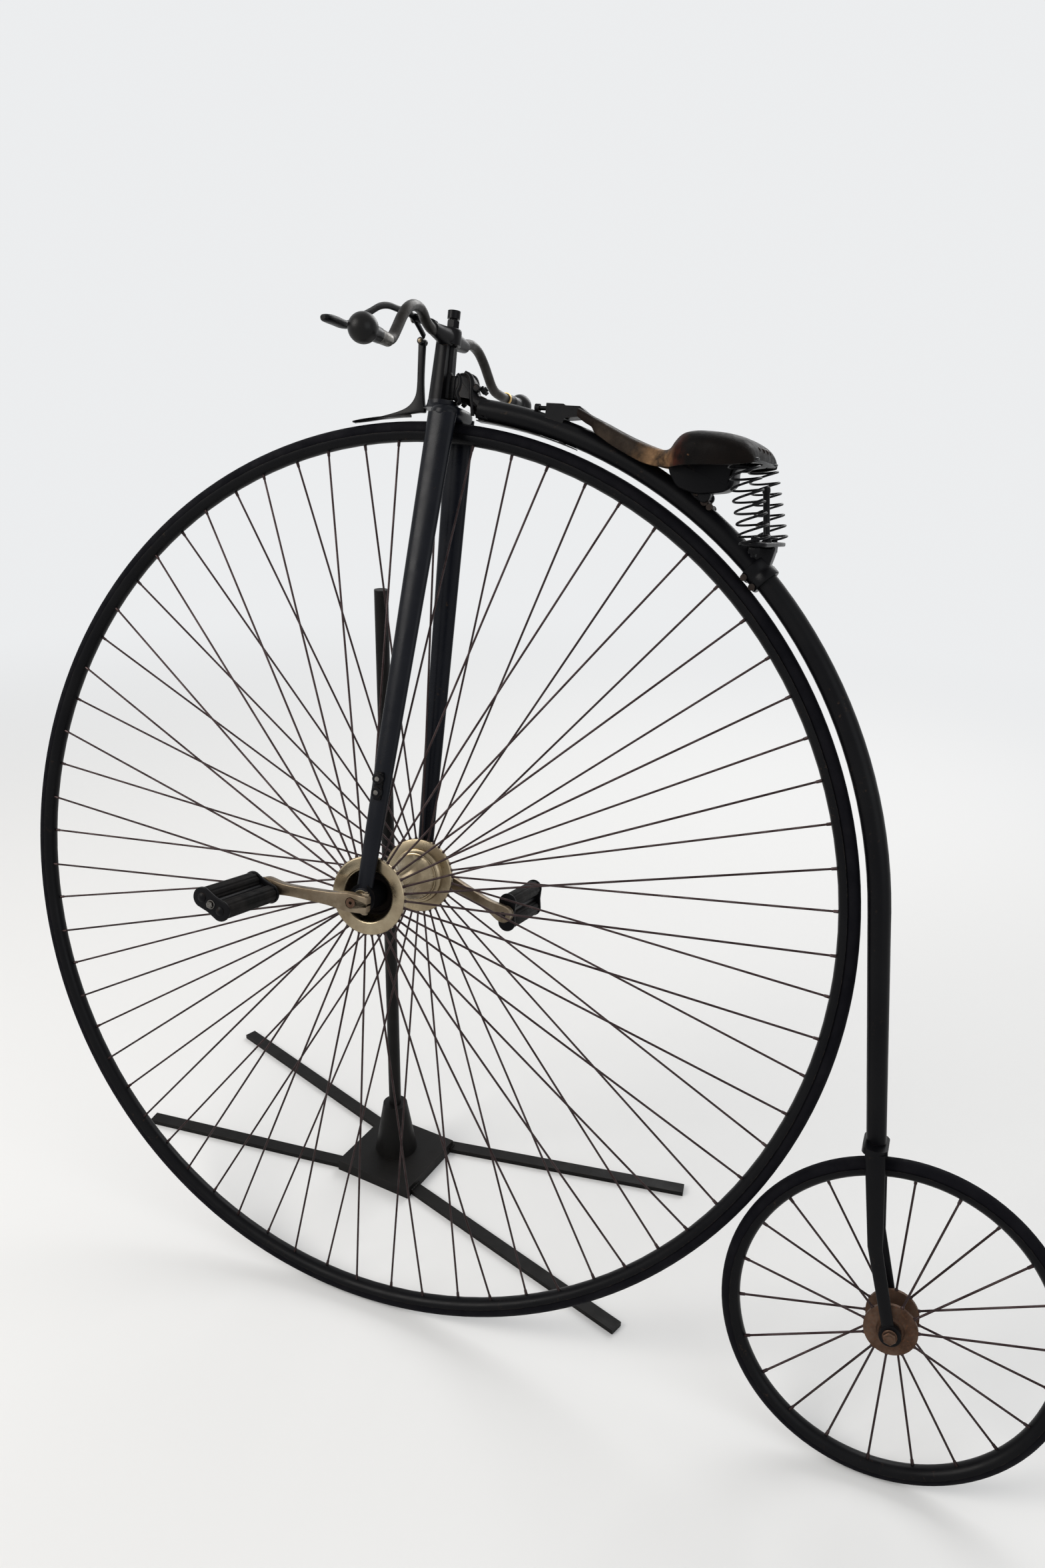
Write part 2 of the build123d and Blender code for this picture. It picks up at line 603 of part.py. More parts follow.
REAR_AXLE_RADIUS = 5.0
REAR_AXLE_HALF = REAR_EYE_Y + 12
with BuildPart() as rear_axle:
    with BuildSketch(Plane.XZ.offset(-REAR_AXLE_HALF)):
        with Locations((WHEELBASE, REAR_Z)):
            Circle(REAR_AXLE_RADIUS)
    extrude(amount=2 * REAR_AXLE_HALF)

with BuildPart() as rear_fork_bored:
    add(rear_fork.part)
    add(rear_axle.part, mode=Mode.SUBTRACT)
rear_fork = rear_fork_bored

# Rear wheel
REAR_FLANGE_RADIUS = 34.0
with BuildPart() as rear_tyre:
    with BuildSketch(Plane.YZ.offset(WHEELBASE)):
        with Locations((0, REAR_Z + REAR_RADIUS - TYRE_SECTION)):
            RegularPolygon(TYRE_SECTION, TYRE_SIDES, rotation=90)
    revolve(axis=REAR_AXIS)

with BuildPart() as rear_rim:
    with BuildSketch(Plane.YZ.offset(WHEELBASE)):
        rear_rim_at = REAR_Z + REAR_RADIUS - REAR_RIM_DEPTH + RIM_WIDTH / 2
        with Locations((0, rear_rim_at)):
            Circle(RIM_WIDTH / 2)
        with Locations((0, rear_rim_at + RIM_WIDTH / 2)):
            Rectangle(RIM_WIDTH, RIM_WIDTH, mode=Mode.SUBTRACT)
        with Locations((0, REAR_Z + REAR_RADIUS - TYRE_SECTION)):
            RegularPolygon(TYRE_SECTION, TYRE_SIDES, rotation=90, mode=Mode.SUBTRACT)
    revolve(axis=REAR_AXIS)

with BuildPart() as rear_hub:
    with BuildSketch(Plane.YZ.offset(WHEELBASE)):
        with BuildLine():
            Polyline(
                (0, REAR_Z + REAR_AXLE_RADIUS + BEARING_PLAY), (0, REAR_Z + 12), (14, REAR_Z + 12),
                (16, REAR_Z + REAR_FLANGE_RADIUS), (21, REAR_Z + REAR_FLANGE_RADIUS), (22, REAR_Z + 18),
                (26, REAR_Z + 16), (26, REAR_Z + REAR_AXLE_RADIUS + BEARING_PLAY), close=True,
            )
        make_face()
        mirror(about=Plane.YZ)
    revolve(axis=REAR_AXIS)

with BuildPart() as rear_spokes:
    for i in range(REAR_SPOKES):
        side = 1 if i % 2 else -1
        turn = math.radians((i + 0.5) * 360 / REAR_SPOKES)
        inner = REAR_FLANGE_RADIUS + SPOKE_GAP
        outer = REAR_RADIUS - REAR_RIM_DEPTH - SPOKE_GAP
        root = Vector(WHEELBASE + inner * math.cos(turn), side * 18.5, REAR_Z + inner * math.sin(turn))
        tip = Vector(
            WHEELBASE + outer * math.cos(turn), side * SPOKE_RIM_OFFSET, REAR_Z + outer * math.sin(turn)
        )
        with BuildSketch(Plane(origin=root, z_dir=tip - root)):
            Circle(SPOKE_RADIUS)
        extrude(amount=(tip - root).length)

# Saddle: a clip on the backbone in front, a clamp with two springs behind, the leather between them
CLIP_Y = 12.0
CLAMP_X = 468.0
CLAMP_Z = backbone_z(CLAMP_X) + 35
CLAMP_PLATE = 5.0
CLAMP_GRIP = 34.0           # along the backbone
CLAMP_RADIUS = 19.5
SPRING_HEIGHT = 93.0
SPRING_Y = 66.0
SPRING_LEAN = -26.0         # the springs' tops stand in front of their feet
SPRING_COIL = 18.4
SPRING_WIRE = 1.45
SPRING_TURNS = 7
SEAT_PLATE = 4.0
SEAT_X = CLAMP_X + SPRING_LEAN
SEAT_Z = CLAMP_Z + CLAMP_PLATE + SPRING_HEIGHT
SADDLE_TURN = 5.0           # degrees that the sprung part has slipped round the backbone, right side up
SADDLE_AXIS = Axis((0, 0, CLAMP_Z), (1, 0, 0))
ROD_TOP = 68.0
CLIP_LOW = 2 * FRONT_RADIUS - 2

with BuildPart() as saddle_clip:
    with BuildSketch(Plane.XZ.offset(-CLIP_Y)):
        with BuildLine():
            Polyline(
                (160, CLIP_LOW), (160, CLIP_LOW + 32), (184, CLIP_LOW + 32), (187, CLIP_LOW + 30),
                (207, CLIP_LOW + 30), (214, CLIP_LOW + 25), (213, CLIP_LOW + 17), (187, CLIP_LOW + 14),
                (184, CLIP_LOW), close=True,
            )
        make_face()
    extrude(amount=2 * CLIP_Y)
    for x0, long, radius in ((143, 18, 3), (141, 6, 5.5)):
        with BuildSketch(Plane.YZ.offset(x0)):
            with Locations((0, CLIP_LOW + 27)):
                Circle(radius)
        extrude(amount=long)
    add(backbone.part, mode=Mode.SUBTRACT)

# Leather, (x, top, half width, shoulder, lower edge)
LEATHER_THICK = 4.5
LEATHER = (
    (209, 1345, 14, 1341, 1334),
    (244, 1331, 19, 1326, 1314),
    (290, 1313, 26, 1307, 1291),
    (324, 1301, 34, 1295, 1279),
    (346, 1299, 52, 1291, 1279),
    (362, 1318, 76, 1303, 1280),
    (384, 1323, 91, 1307, 1281),
    (430, 1321, 97, 1305, 1282),
    (454, 1314, 95, 1300, 1283),
    (466, 1296, 84, 1290, 1284),
)
with BuildPart() as leather_skin:
    for x, top, half, shoulder, low in LEATHER:
        t = LEATHER_THICK
        outline = [(half, low), (half, shoulder), (0.86 * half, (2 * top + shoulder) / 3), (0.5 * half, top - 1)]
        lining = [(half - t, low), (half - t, shoulder - 1), (0.86 * half - 0.7 * t, (2 * top + shoulder) / 3 - t)]
        lining.append((0.5 * half, top - 1 - t))
        left = [(-y, z) for y, z in outline]
        left_lining = [(-y, z) for y, z in lining]
        with BuildSketch(Plane.YZ.offset(x)):
            with BuildLine():
                Polyline(*left, *reversed(outline), *lining, *reversed(left_lining), close=True)
            make_face()
    loft(ruled=True)

with BuildPart() as saddle_leather:
    add(leather_skin.part.rotate(SADDLE_AXIS, SADDLE_TURN))
    add(backbone.part, mode=Mode.SUBTRACT)
    add(saddle_clip.part, mode=Mode.SUBTRACT)

with BuildPart() as seat_plates:
    with BuildSketch(Plane.XZ.offset(-24)):
        with BuildLine():
            Polyline(
                (345, 1286), (370, 1262), (382, 1253), (418, 1253), (425, 1262), (422, 1284), (SEAT_X + 17, SEAT_Z),
                (SEAT_X + 17, SEAT_Z + SEAT_PLATE), (400, 1304), (376, 1302), (356, 1290), close=True,
            )
        make_face()
    extrude(amount=48)
    with BuildSketch(Plane.XZ.offset(-9)):
        with BuildLine():
            Polyline((376, 1256), (404, 1256), (409, 1238), (398, 1228), (384, 1238), close=True)
        make_face()
    extrude(amount=22)
    with BuildSketch(Plane.XZ.offset(-12)):
        with Locations((406, 1234)):
            Circle(5.5)
    extrude(amount=28)
    with BuildSketch(Plane.XY.offset(SEAT_Z)):
        with Locations((SEAT_X, 0)):
            Rectangle(34, 2 * (SPRING_Y + 10))
        with Locations((SEAT_X, -SPRING_Y), (SEAT_X, SPRING_Y)):
            Circle(SPRING_COIL)
    extrude(amount=SEAT_PLATE)

with BuildPart() as saddle_frame:
    add(seat_plates.part.rotate(SADDLE_AXIS, SADDLE_TURN))
    add(saddle_leather.part, mode=Mode.SUBTRACT)
    add(backbone.part, mode=Mode.SUBTRACT)

saddle_springs = []
for side in (-1, 1):
    low_end = Vector(CLAMP_X, side * SPRING_Y, CLAMP_Z + CLAMP_PLATE)
    top_end = Vector(CLAMP_X + SPRING_LEAN, side * SPRING_Y, SEAT_Z)
    upright = (top_end - low_end).normalized()
    coil_height = (top_end - low_end).length - 2 * SPRING_WIRE - 12
    coil = Helix(pitch=coil_height / SPRING_TURNS, height=coil_height, radius=SPRING_COIL)
    coil = Plane(origin=low_end + upright * (SPRING_WIRE + 6), z_dir=upright) * coil
    with BuildPart() as spring:
        with BuildSketch(Plane(origin=coil @ 0, z_dir=coil % 0)):
            RegularPolygon(SPRING_WIRE, 6)
        sweep(path=coil, is_frenet=True)
    spring.part = spring.part.rotate(SADDLE_AXIS, SADDLE_TURN)
    saddle_springs.append(spring)
left_saddle_spring, right_saddle_spring = saddle_springs

with BuildPart() as clamp_plate:
    with BuildSketch(Plane.XY.offset(CLAMP_Z)):
        with Locations((CLAMP_X, 0)):
            Rectangle(32, 2 * (SPRING_Y + 10))
        with Locations((CLAMP_X, -SPRING_Y), (CLAMP_X, SPRING_Y)):
            Circle(SPRING_COIL)
    extrude(amount=CLAMP_PLATE)
    with BuildSketch(Plane.XY.offset(CLAMP_Z)):
        with Locations((CLAMP_X, -SPRING_Y), (CLAMP_X, SPRING_Y)):
            RegularPolygon(6.5, 6)
    extrude(amount=-11)
    rod_foot = Vector(CLAMP_X + 3, 0, CLAMP_Z + CLAMP_PLATE / 2)
    rod_way = Vector(-9, 0, ROD_TOP)
    for radius, start, long in ((4, 0, ROD_TOP), (5, ROD_TOP - 5, 7)):
        with BuildSketch(Plane(origin=rod_foot + rod_way.normalized() * start, z_dir=rod_way)):
            Circle(radius)
        extrude(amount=long)

clamp_angle = math.degrees(math.acos(CLAMP_X / BACKBONE_R))
clamp_way = Vector(math.sin(math.radians(clamp_angle)), 0, -math.cos(math.radians(clamp_angle)))
with BuildPart() as spring_clamp:
    add(clamp_plate.part.rotate(SADDLE_AXIS, SADDLE_TURN))
    clamp_middle = Vector(*round_the_hub(BACKBONE_R, clamp_angle))
    with BuildSketch(Plane(origin=clamp_middle - clamp_way * CLAMP_GRIP / 2, z_dir=clamp_way)):
        Circle(CLAMP_RADIUS)
    extrude(amount=CLAMP_GRIP)
    with BuildSketch(Plane.XZ.offset(-15)):
        with BuildLine():
            Polyline(
                (CLAMP_X - 17, CLAMP_Z + 2), (CLAMP_X + 18, CLAMP_Z + 2), (CLAMP_X + 16, CLAMP_Z - 16),
                (CLAMP_X + 10, CLAMP_Z - 34), (CLAMP_X - 10, CLAMP_Z - 30), close=True,
            )
        make_face()
    extrude(amount=30)
    add(backbone.part, mode=Mode.SUBTRACT)
    with BuildSketch(Plane.XZ.offset(-60)):
        with Locations((0, HUB_Z)):
            Circle(FRONT_RADIUS + RUNNING_GAP)
    extrude(amount=120, mode=Mode.SUBTRACT)

# Stand
with BuildPart() as stand_plate:
    with BuildSketch(Plane.XY):
        with Locations((PLATE_X, PLATE_Y)):
            Rectangle(PLATE_SIDE, PLATE_SIDE, rotation=PLATE_TURN)
    extrude(amount=PLATE_THICK)

with BuildPart() as stand_socket:
    with BuildSketch(Plane.XY.offset(PLATE_THICK)):
        with Locations((POST_X, POST_Y)):
            Circle(SOCKET_LOW_RADIUS)
    with BuildSketch(Plane.XY.offset(PLATE_THICK + SOCKET_HEIGHT)):
        with Locations((POST_X, POST_Y)):
            Circle(SOCKET_TOP_RADIUS)
    loft()

with BuildPart() as stand_post:
    with BuildSketch(Plane.XY.offset(PLATE_THICK + SOCKET_HEIGHT)):
        with Locations((POST_X, POST_Y)):
            Circle(POST_RADIUS)
    extrude(amount=POST_TOP - PLATE_THICK - SOCKET_HEIGHT)

# Legs of the stand, (root x, root y, tip x, tip y)
LEGS = (
    (-137, 358, -548, 515),
    (-144, 250, -558, 214),
    (-30, 359, 414, 420),
    (-44, 247, 396, 90),
)
with BuildPart() as stand_legs:
    for x0, y0, x1, y1 in LEGS:
        reach = Vector(x1 - x0, y1 - y0, 0)
        with BuildSketch(Plane(origin=((x0 + x1) / 2, (y0 + y1) / 2, 0), x_dir=reach, z_dir=(0, 0, 1))):
            Rectangle(reach.length, LEG_WIDE)
        extrude(amount=LEG_THICK)
    add(stand_plate.part, mode=Mode.SUBTRACT)

# Lean the bicycle and write every piece
LEAN_AXIS = Axis((0, 0, TYRE_SECTION), (1, 0, 0))
BICYCLE = {
    "front_tyre": front_tyre,
    "front_rim": front_rim,
    "front_spokes": front_spokes,
    "front_hub": front_hub,
    "front_axle": front_axle,
    "left_crank": left_crank,
    "right_crank": right_crank,
    "left_pedal": left_pedal,
    "left_pedal_rubbers": left_pedal_rubbers,
    "right_pedal": right_pedal,
    "right_pedal_rubbers": right_pedal_rubbers,
    "fork": fork,
    "left_fork_bearing": left_fork_bearing,
    "right_fork_bearing": right_fork_bearing,
    "steering_head": steering_head,
    "head_bolt": head_bolt,
    "handlebar": handlebar,
    "left_ferrule": left_ferrule,
    "right_ferrule": right_ferrule,
    "left_grip": left_grip,
    "right_grip": right_grip,
    "brake_spoon": brake_spoon,
    "brake_lever": brake_lever,
    "lamp_bracket": lamp_bracket,
    "backbone": backbone,
    "neck": neck,
    "mudguard": mudguard,
    "rear_fork": rear_fork,
    "rear_axle": rear_axle,
    "rear_tyre": rear_tyre,
    "rear_rim": rear_rim,
    "rear_hub": rear_hub,
    "rear_spokes": rear_spokes,
    "saddle_clip": saddle_clip,
    "saddle_leather": saddle_leather,
    "saddle_frame": saddle_frame,
    "left_saddle_spring": left_saddle_spring,
    "right_saddle_spring": right_saddle_spring,
    "spring_clamp": spring_clamp,
}
STAND = {
    "stand_plate": stand_plate,
    "stand_socket": stand_socket,
    "stand_post": stand_post,
    "stand_legs": stand_legs,
}
TO_FOOT = Location((-POST_X, -POST_Y, 0))
for label, piece in BICYCLE.items():
    piece.part = piece.part.rotate(LEAN_AXIS, -LEAN)
for label, piece in (BICYCLE | STAND).items():
    piece.part = piece.part.moved(TO_FOOT)
    piece.part.label = label
    export_step(piece.part, f"parts/{label}.step")
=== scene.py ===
import json
import math

import bmesh
import bpy
from mathutils import Matrix, Vector


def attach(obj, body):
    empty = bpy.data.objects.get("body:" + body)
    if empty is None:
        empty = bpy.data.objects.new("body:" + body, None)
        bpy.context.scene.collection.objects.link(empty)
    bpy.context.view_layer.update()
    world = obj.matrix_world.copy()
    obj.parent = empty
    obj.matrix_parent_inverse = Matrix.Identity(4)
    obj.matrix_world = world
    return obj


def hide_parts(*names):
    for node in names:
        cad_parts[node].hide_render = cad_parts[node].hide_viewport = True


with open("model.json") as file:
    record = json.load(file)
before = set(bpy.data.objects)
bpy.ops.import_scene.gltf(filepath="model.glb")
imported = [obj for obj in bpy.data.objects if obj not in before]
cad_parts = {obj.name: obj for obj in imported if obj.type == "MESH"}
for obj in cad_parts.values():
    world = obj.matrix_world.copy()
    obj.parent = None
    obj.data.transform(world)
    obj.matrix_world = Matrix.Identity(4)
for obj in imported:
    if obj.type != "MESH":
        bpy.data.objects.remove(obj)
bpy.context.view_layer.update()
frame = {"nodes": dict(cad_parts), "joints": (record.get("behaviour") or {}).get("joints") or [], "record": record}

# The bicycle's own upright axes, read from its joints: metres, +X to its rear, +Y to its right, +Z up
JOINTS = {joint["name"]: joint for joint in frame["joints"]}
HUB = Vector(JOINTS["front_wheel_spin"]["pos_m"])
EX = Vector((1, 0, 0))
EY = Vector(JOINTS["front_wheel_spin"]["axis"]).normalized()
EZ = EX.cross(EY)
BIKE_AXES = Matrix((EX, EY, EZ)).transposed()

# Camera at the photograph's angle
CAMERA_AT = (0.8157, -1.4820, 1.4168)
CAMERA_YAW = 21.52
CAMERA_DOWN = 22.14
CAMERA_ROLL = 1.18
SENSOR = 36.0
PHOTO_HEIGHT = 2352
FOCAL_PIXELS = 1720


def make_camera():
    yaw, down, roll = (math.radians(a) for a in (CAMERA_YAW, CAMERA_DOWN, CAMERA_ROLL))
    ahead = Vector((-math.sin(yaw) * math.cos(down), math.cos(yaw) * math.cos(down), -math.sin(down)))
    level = Vector((math.cos(yaw), math.sin(yaw), 0))
    above = level.cross(ahead)
    right = math.cos(roll) * level + math.sin(roll) * above
    up = -math.sin(roll) * level + math.cos(roll) * above
    data = bpy.data.cameras.new("camera")
    data.sensor_fit = "AUTO"
    data.sensor_width = SENSOR
    data.lens = SENSOR * FOCAL_PIXELS / PHOTO_HEIGHT
    data.clip_start = 0.05
    data.clip_end = 100
    camera = bpy.data.objects.new("camera", data)
    camera.matrix_world = Matrix.Translation(CAMERA_AT) @ Matrix((right, up, -ahead)).transposed().to_4x4()
    bpy.context.scene.collection.objects.link(camera)
    bpy.context.scene.camera = camera


# Studio: pale floor, pale world, three soft lamps
FLOOR_COLOUR = (0.78, 0.78, 0.775, 1)
FLOOR_LIFT = 0.04              # how much paler the floor looks to the camera than the light makes it
FLOOR_REACH = 40               # half of its side, in metres
FLOOR_DROP = 0.0005            # how far it lies under the stand
FLOOR_FADE = (1.3, 4.2)        # metres from the stand over which the floor turns into the pale background
WORLD_COLOUR = (0.84, 0.85, 0.86, 1)
WORLD_LIGHT = 0.55
LAMPS = (
    # name, place, aims at, size, watts, colour
    ("key", (-2.2, -2.6, 3.2), (0.2, 0.0, 0.7), 2.2, 105, (1.0, 0.97, 0.93)),
    ("fill", (3.4, -1.8, 2.4), (0.3, 0.0, 0.6), 2.6, 26, (0.92, 0.96, 1.0)),
    ("rear", (0.6, 3.2, 3.0), (0.2, 0.0, 0.8), 2.4, 60, (1.0, 1.0, 1.0)),
)


def add_node(tree, kind, inputs, **settings):
    """A new node; each of its inputs takes a plain value or another node's output."""
    node = tree.nodes.new("ShaderNode" + kind)
    for key, value in settings.items():
        setattr(node, key, value)
    for key, value in inputs.items():
        if isinstance(value, bpy.types.NodeSocket):
            tree.links.new(value, node.inputs[key])
        else:
            node.inputs[key].default_value = value
    return node


def math_node(tree, operation, first, second):
    return add_node(tree, "Math", {0: first, 1: second}, operation=operation).outputs[0]


def background_rays(tree):
    """1 for what the camera sees directly or in something glossy, 0 for light that falls on the object."""
    rays = add_node(tree, "LightPath", {}).outputs
    return math_node(tree, "MAXIMUM", rays["Is Camera Ray"], rays["Is Glossy Ray"])


def floor_paint():
    """Pale matt floor that keeps the shadow near the object and fades into the background far off."""
    paint = bpy.data.materials.new("floor")
    paint.use_nodes = True
    tree = paint.node_tree
    shader = tree.nodes["Principled BSDF"]
    shader.inputs["Base Color"].default_value = FLOOR_COLOUR
    shader.inputs["Roughness"].default_value = 0.8
    shader.inputs["Specular IOR Level"].default_value = 0.2
    shader.inputs["Emission Color"].default_value = WORLD_COLOUR
    seen = background_rays(tree)
    tree.links.new(math_node(tree, "MULTIPLY", seen, FLOOR_LIFT), shader.inputs["Emission Strength"])
    place = add_node(tree, "TexCoord", {}).outputs["Object"]
    far = add_node(tree, "VectorMath", {0: place}, operation="LENGTH").outputs["Value"]
    reach = {"Value": far, "From Min": FLOOR_FADE[0], "From Max": FLOOR_FADE[1]}
    fade = add_node(tree, "MapRange", reach, interpolation_type="SMOOTHSTEP").outputs[0]
    glow = add_node(tree, "Emission", {"Color": WORLD_COLOUR}).outputs[0]
    share = math_node(tree, "MULTIPLY", fade, seen)
    mix = add_node(tree, "MixShader", {0: share, 1: shader.outputs[0], 2: glow})
    tree.links.new(mix.outputs[0], tree.nodes["Material Output"].inputs["Surface"])
    return paint


def make_studio():
    scene = bpy.context.scene
    scene.view_settings.view_transform = "Standard"
    scene.world = bpy.data.worlds.new("studio")
    scene.world.use_nodes = True
    tree = scene.world.node_tree
    tree.nodes.clear()
    lit, seen = (
        add_node(tree, "Background", {"Color": colour, "Strength": strength}).outputs[0]
        for colour, strength in (((1, 1, 1, 1), WORLD_LIGHT), (WORLD_COLOUR, 1))
    )
    mix = add_node(tree, "MixShader", {0: background_rays(tree), 1: lit, 2: seen})
    add_node(tree, "OutputWorld", {"Surface": mix.outputs[0]})
    for name, place, aim, size, watts, colour in LAMPS:
        data = bpy.data.lights.new(name, "AREA")
        data.size = size
        data.energy = watts
        data.color = colour
        lamp = bpy.data.objects.new(name, data)
        lamp.location = place
        lamp.rotation_euler = (Vector(aim) - Vector(place)).to_track_quat("-Z", "Y").to_euler()
        scene.collection.objects.link(lamp)
    mesh = bpy.data.meshes.new("floor")
    corners = [(x * FLOOR_REACH, y * FLOOR_REACH, 0) for x, y in ((-1, -1), (1, -1), (1, 1), (-1, 1))]
    mesh.from_pydata(corners, [], [(0, 1, 2, 3)])
    floor = bpy.data.objects.new("floor", mesh)
    floor.location.z = -FLOOR_DROP
    scene.collection.objects.link(floor)
    mesh.materials.append(floor_paint())


# Materials, all procedural and fixed to the piece they are on
class Nodes:
    """A material's node tree, with short calls for the nodes used here."""

    def __init__(self, name, roughness, metallic=0.0, specular=0.5):
        self.material = bpy.data.materials.new(name)
        self.material.use_nodes = True
        self.tree = self.material.node_tree
        self.shader = self.tree.nodes["Principled BSDF"]
        self.shader.inputs["Roughness"].default_value = roughness
        self.shader.inputs["Metallic"].default_value = metallic
        self.shader.inputs["Specular IOR Level"].default_value = specular
        self.place = self.add("TexCoord", {}).outputs["Object"]

    def link(self, output, target):
        self.tree.links.new(output, target)

    def add(self, kind, inputs, **settings):
        return add_node(self.tree, kind, inputs, **settings)

    def noise(self, scale, detail=4.0, rough=0.6, stretch=None):
        place = self.place
        if stretch:
            place = self.add("Mapping", {"Vector": place, "Scale": stretch}).outputs["Vector"]
        inputs = {"Vector": place, "Scale": scale, "Detail": detail, "Roughness": rough}
        return self.add("TexNoise", inputs).outputs["Fac"]

    def axis(self, letter):
        return self.add("SeparateXYZ", {0: self.place}).outputs[letter]

    def span(self, value, low, high, to_low=0.0, to_high=1.0):
        inputs = {"Value": value, "From Min": low, "From Max": high, "To Min": to_low, "To Max": to_high}
        return self.add("MapRange", inputs).outputs["Result"]

    def times(self, first, second):
        return math_node(self.tree, "MULTIPLY", first, second)

    def mix(self, factor, first, second):
        first, second = ((*value, 1) if isinstance(value, tuple) else value for value in (first, second))
        inputs = {"Factor": factor, "A": first, "B": second}
        return self.add("Mix", inputs, data_type="RGBA").outputs["Result"]

    def edges(self, width):
        """High where the surface turns sharply, for wear along edges."""
        soft = self.add("Bevel", {"Radius": width}, samples=4).outputs["Normal"]
        plain = self.add("NewGeometry", {}).outputs["Normal"]
        dot = self.add("VectorMath", {0: soft, 1: plain}, operation="DOT_PRODUCT")
        return self.span(dot.outputs["Value"], 0.995, 0.90)

    def bump(self, height, strength, distance):
        inputs = {"Height": height, "Strength": strength, "Distance": distance}
        self.link(self.add("Bump", inputs).outputs["Normal"], self.shader.inputs["Normal"])

    def finish(self, colour, roughness):
        self.link(colour, self.shader.inputs["Base Color"])
        self.link(roughness, self.shader.inputs["Roughness"])
        return self.material


BLACKS = ((0.0018, 0.0018, 0.0026), (0.0040, 0.0040, 0.0046))


def enamel(name, edges=True, gloss=0.09, rough=(0.26, 0.46), blacks=BLACKS):
    """Old black stoved enamel: a little blue, dulled in patches, chipped, rubbed brown along its edges."""
    n = Nodes(name, 0.3, specular=gloss)
    colour = n.mix(n.span(n.noise(9, 5), 0.35, 0.7), *blacks)
    chips = n.times(n.span(n.noise(160, 6, 0.7), 0.60, 0.66), n.span(n.noise(14, 2), 0.50, 0.68))
    colour = n.mix(chips, colour, (0.022, 0.014, 0.010))
    if edges:
        worn = n.times(n.edges(0.0009), n.span(n.noise(90, 4), 0.46, 0.62))
        colour = n.mix(worn, colour, (0.036, 0.027, 0.021))
    n.bump(n.noise(420, 3), 0.12, 0.0004)
    return n.finish(colour, n.span(n.noise(30, 5), 0.3, 0.75, *rough))


def stand_black():
    """Thick satin paint on mild steel."""
    n = Nodes("stand_paint", 0.5, specular=0.12)
    colour = n.mix(n.span(n.noise(12, 5), 0.35, 0.7), (0.0030, 0.0028, 0.0028), (0.0075, 0.0068, 0.0062))
    worn = n.times(n.edges(0.0012), n.span(n.noise(60, 4), 0.45, 0.62))
    colour = n.mix(worn, colour, (0.030, 0.024, 0.019))
    n.bump(n.noise(210, 4), 0.25, 0.0006)
    return n.finish(colour, n.span(n.noise(25, 4), 0.3, 0.7, 0.38, 0.60))


def metal(name, bright, dark, rust, roughness, patch_scale, rust_from=0.62):
    """Worn plated or bare metal: two tones, brown specks, finely pitted."""
    n = Nodes(name, roughness, 1.0)
    colour = n.mix(n.span(n.noise(patch_scale, 6, 0.65), 0.36, 0.66), bright, dark)
    specks = n.span(n.noise(patch_scale * 9, 6, 0.75), rust_from, rust_from + 0.1)
    colour = n.mix(specks, colour, rust)
    n.bump(n.noise(patch_scale * 22, 4), 0.15, 0.0004)
    return n.finish(colour, n.span(n.noise(patch_scale * 2, 5), 0.3, 0.7, roughness - 0.1, roughness + 0.16))


def rubber(name, dark, dusty, grain, roughness):
    """Solid black rubber, matt, with dust in its pores."""
    n = Nodes(name, roughness, specular=0.06)
    colour = n.mix(n.span(n.noise(16, 6, 0.7), 0.4, 0.72), dark, dusty)
    n.bump(n.noise(grain, 5, 0.7), 0.3, 0.0006)
    return n.finish(colour, n.span(n.noise(50, 4), 0.3, 0.7, roughness - 0.14, roughness + 0.12))


def grip():
    """Turned black handles, polished by hands."""
    n = Nodes("black_grip", 0.25, specular=0.16)
    colour = n.mix(n.span(n.noise(20, 5), 0.4, 0.7), (0.0030, 0.0030, 0.0030), (0.0065, 0.0060, 0.0056))
    n.bump(n.noise(170, 4), 0.1, 0.0004)
    return n.finish(colour, n.span(n.noise(40, 4), 0.3, 0.7, 0.20, 0.42))


# Along the saddle, in metres of the frame: where its dark tongue ends, where the skirt passes into the cantle
LEATHER_TONGUE = (0.334, 0.322)
LEATHER_CANTLE = (0.436, 0.452)


def leather():
    """Old saddle leather: near black on the cantle, tan where the waist's skirt is rubbed, finely creased."""
    n = Nodes("saddle_leather", 0.55, specular=0.045)
    along = n.axis("X")
    cloud = n.noise(26, 6, 0.65)
    cantle = n.mix(n.span(cloud, 0.40, 0.72), (0.0022, 0.0017, 0.0016), (0.0055, 0.0036, 0.0028))
    # Red-brown along the cantle's front slope: a painted highlight where the light catches that edge
    front = n.times(n.span(along, 0.470, 0.444), n.span(n.noise(60, 5), 0.36, 0.60))
    cantle = n.mix(front, cantle, (0.055, 0.015, 0.009))
    scuffs = n.times(n.span(n.noise(90, 7, 0.75), 0.63, 0.68), n.span(along, 0.500, 0.446))
    cantle = n.mix(scuffs, cantle, (0.14, 0.075, 0.040))
    waist = n.mix(n.span(cloud, 0.36, 0.66), (0.0095, 0.0068, 0.0053), (0.036, 0.026, 0.019))
    rubbed = n.times(n.span(along, 0.375, 0.420), n.span(n.noise(30, 5, 0.6), 0.42, 0.66))
    waist = n.mix(rubbed, waist, (0.27, 0.155, 0.078))
    colour = n.mix(n.span(along, *LEATHER_CANTLE), waist, cantle)
    colour = n.mix(n.span(along, *LEATHER_TONGUE), colour, (0.010, 0.0066, 0.0052))
    creases = n.noise(70, 7, 0.8, (1.0, 2.6, 1.0))
    n.bump(n.mix(n.span(n.noise(560, 6, 0.7), 0.2, 0.9), (0.0, 0.0, 0.0), creases), 0.5, 0.0009)
    return n.finish(colour, n.span(n.noise(70, 5), 0.3, 0.7, 0.36, 0.62))


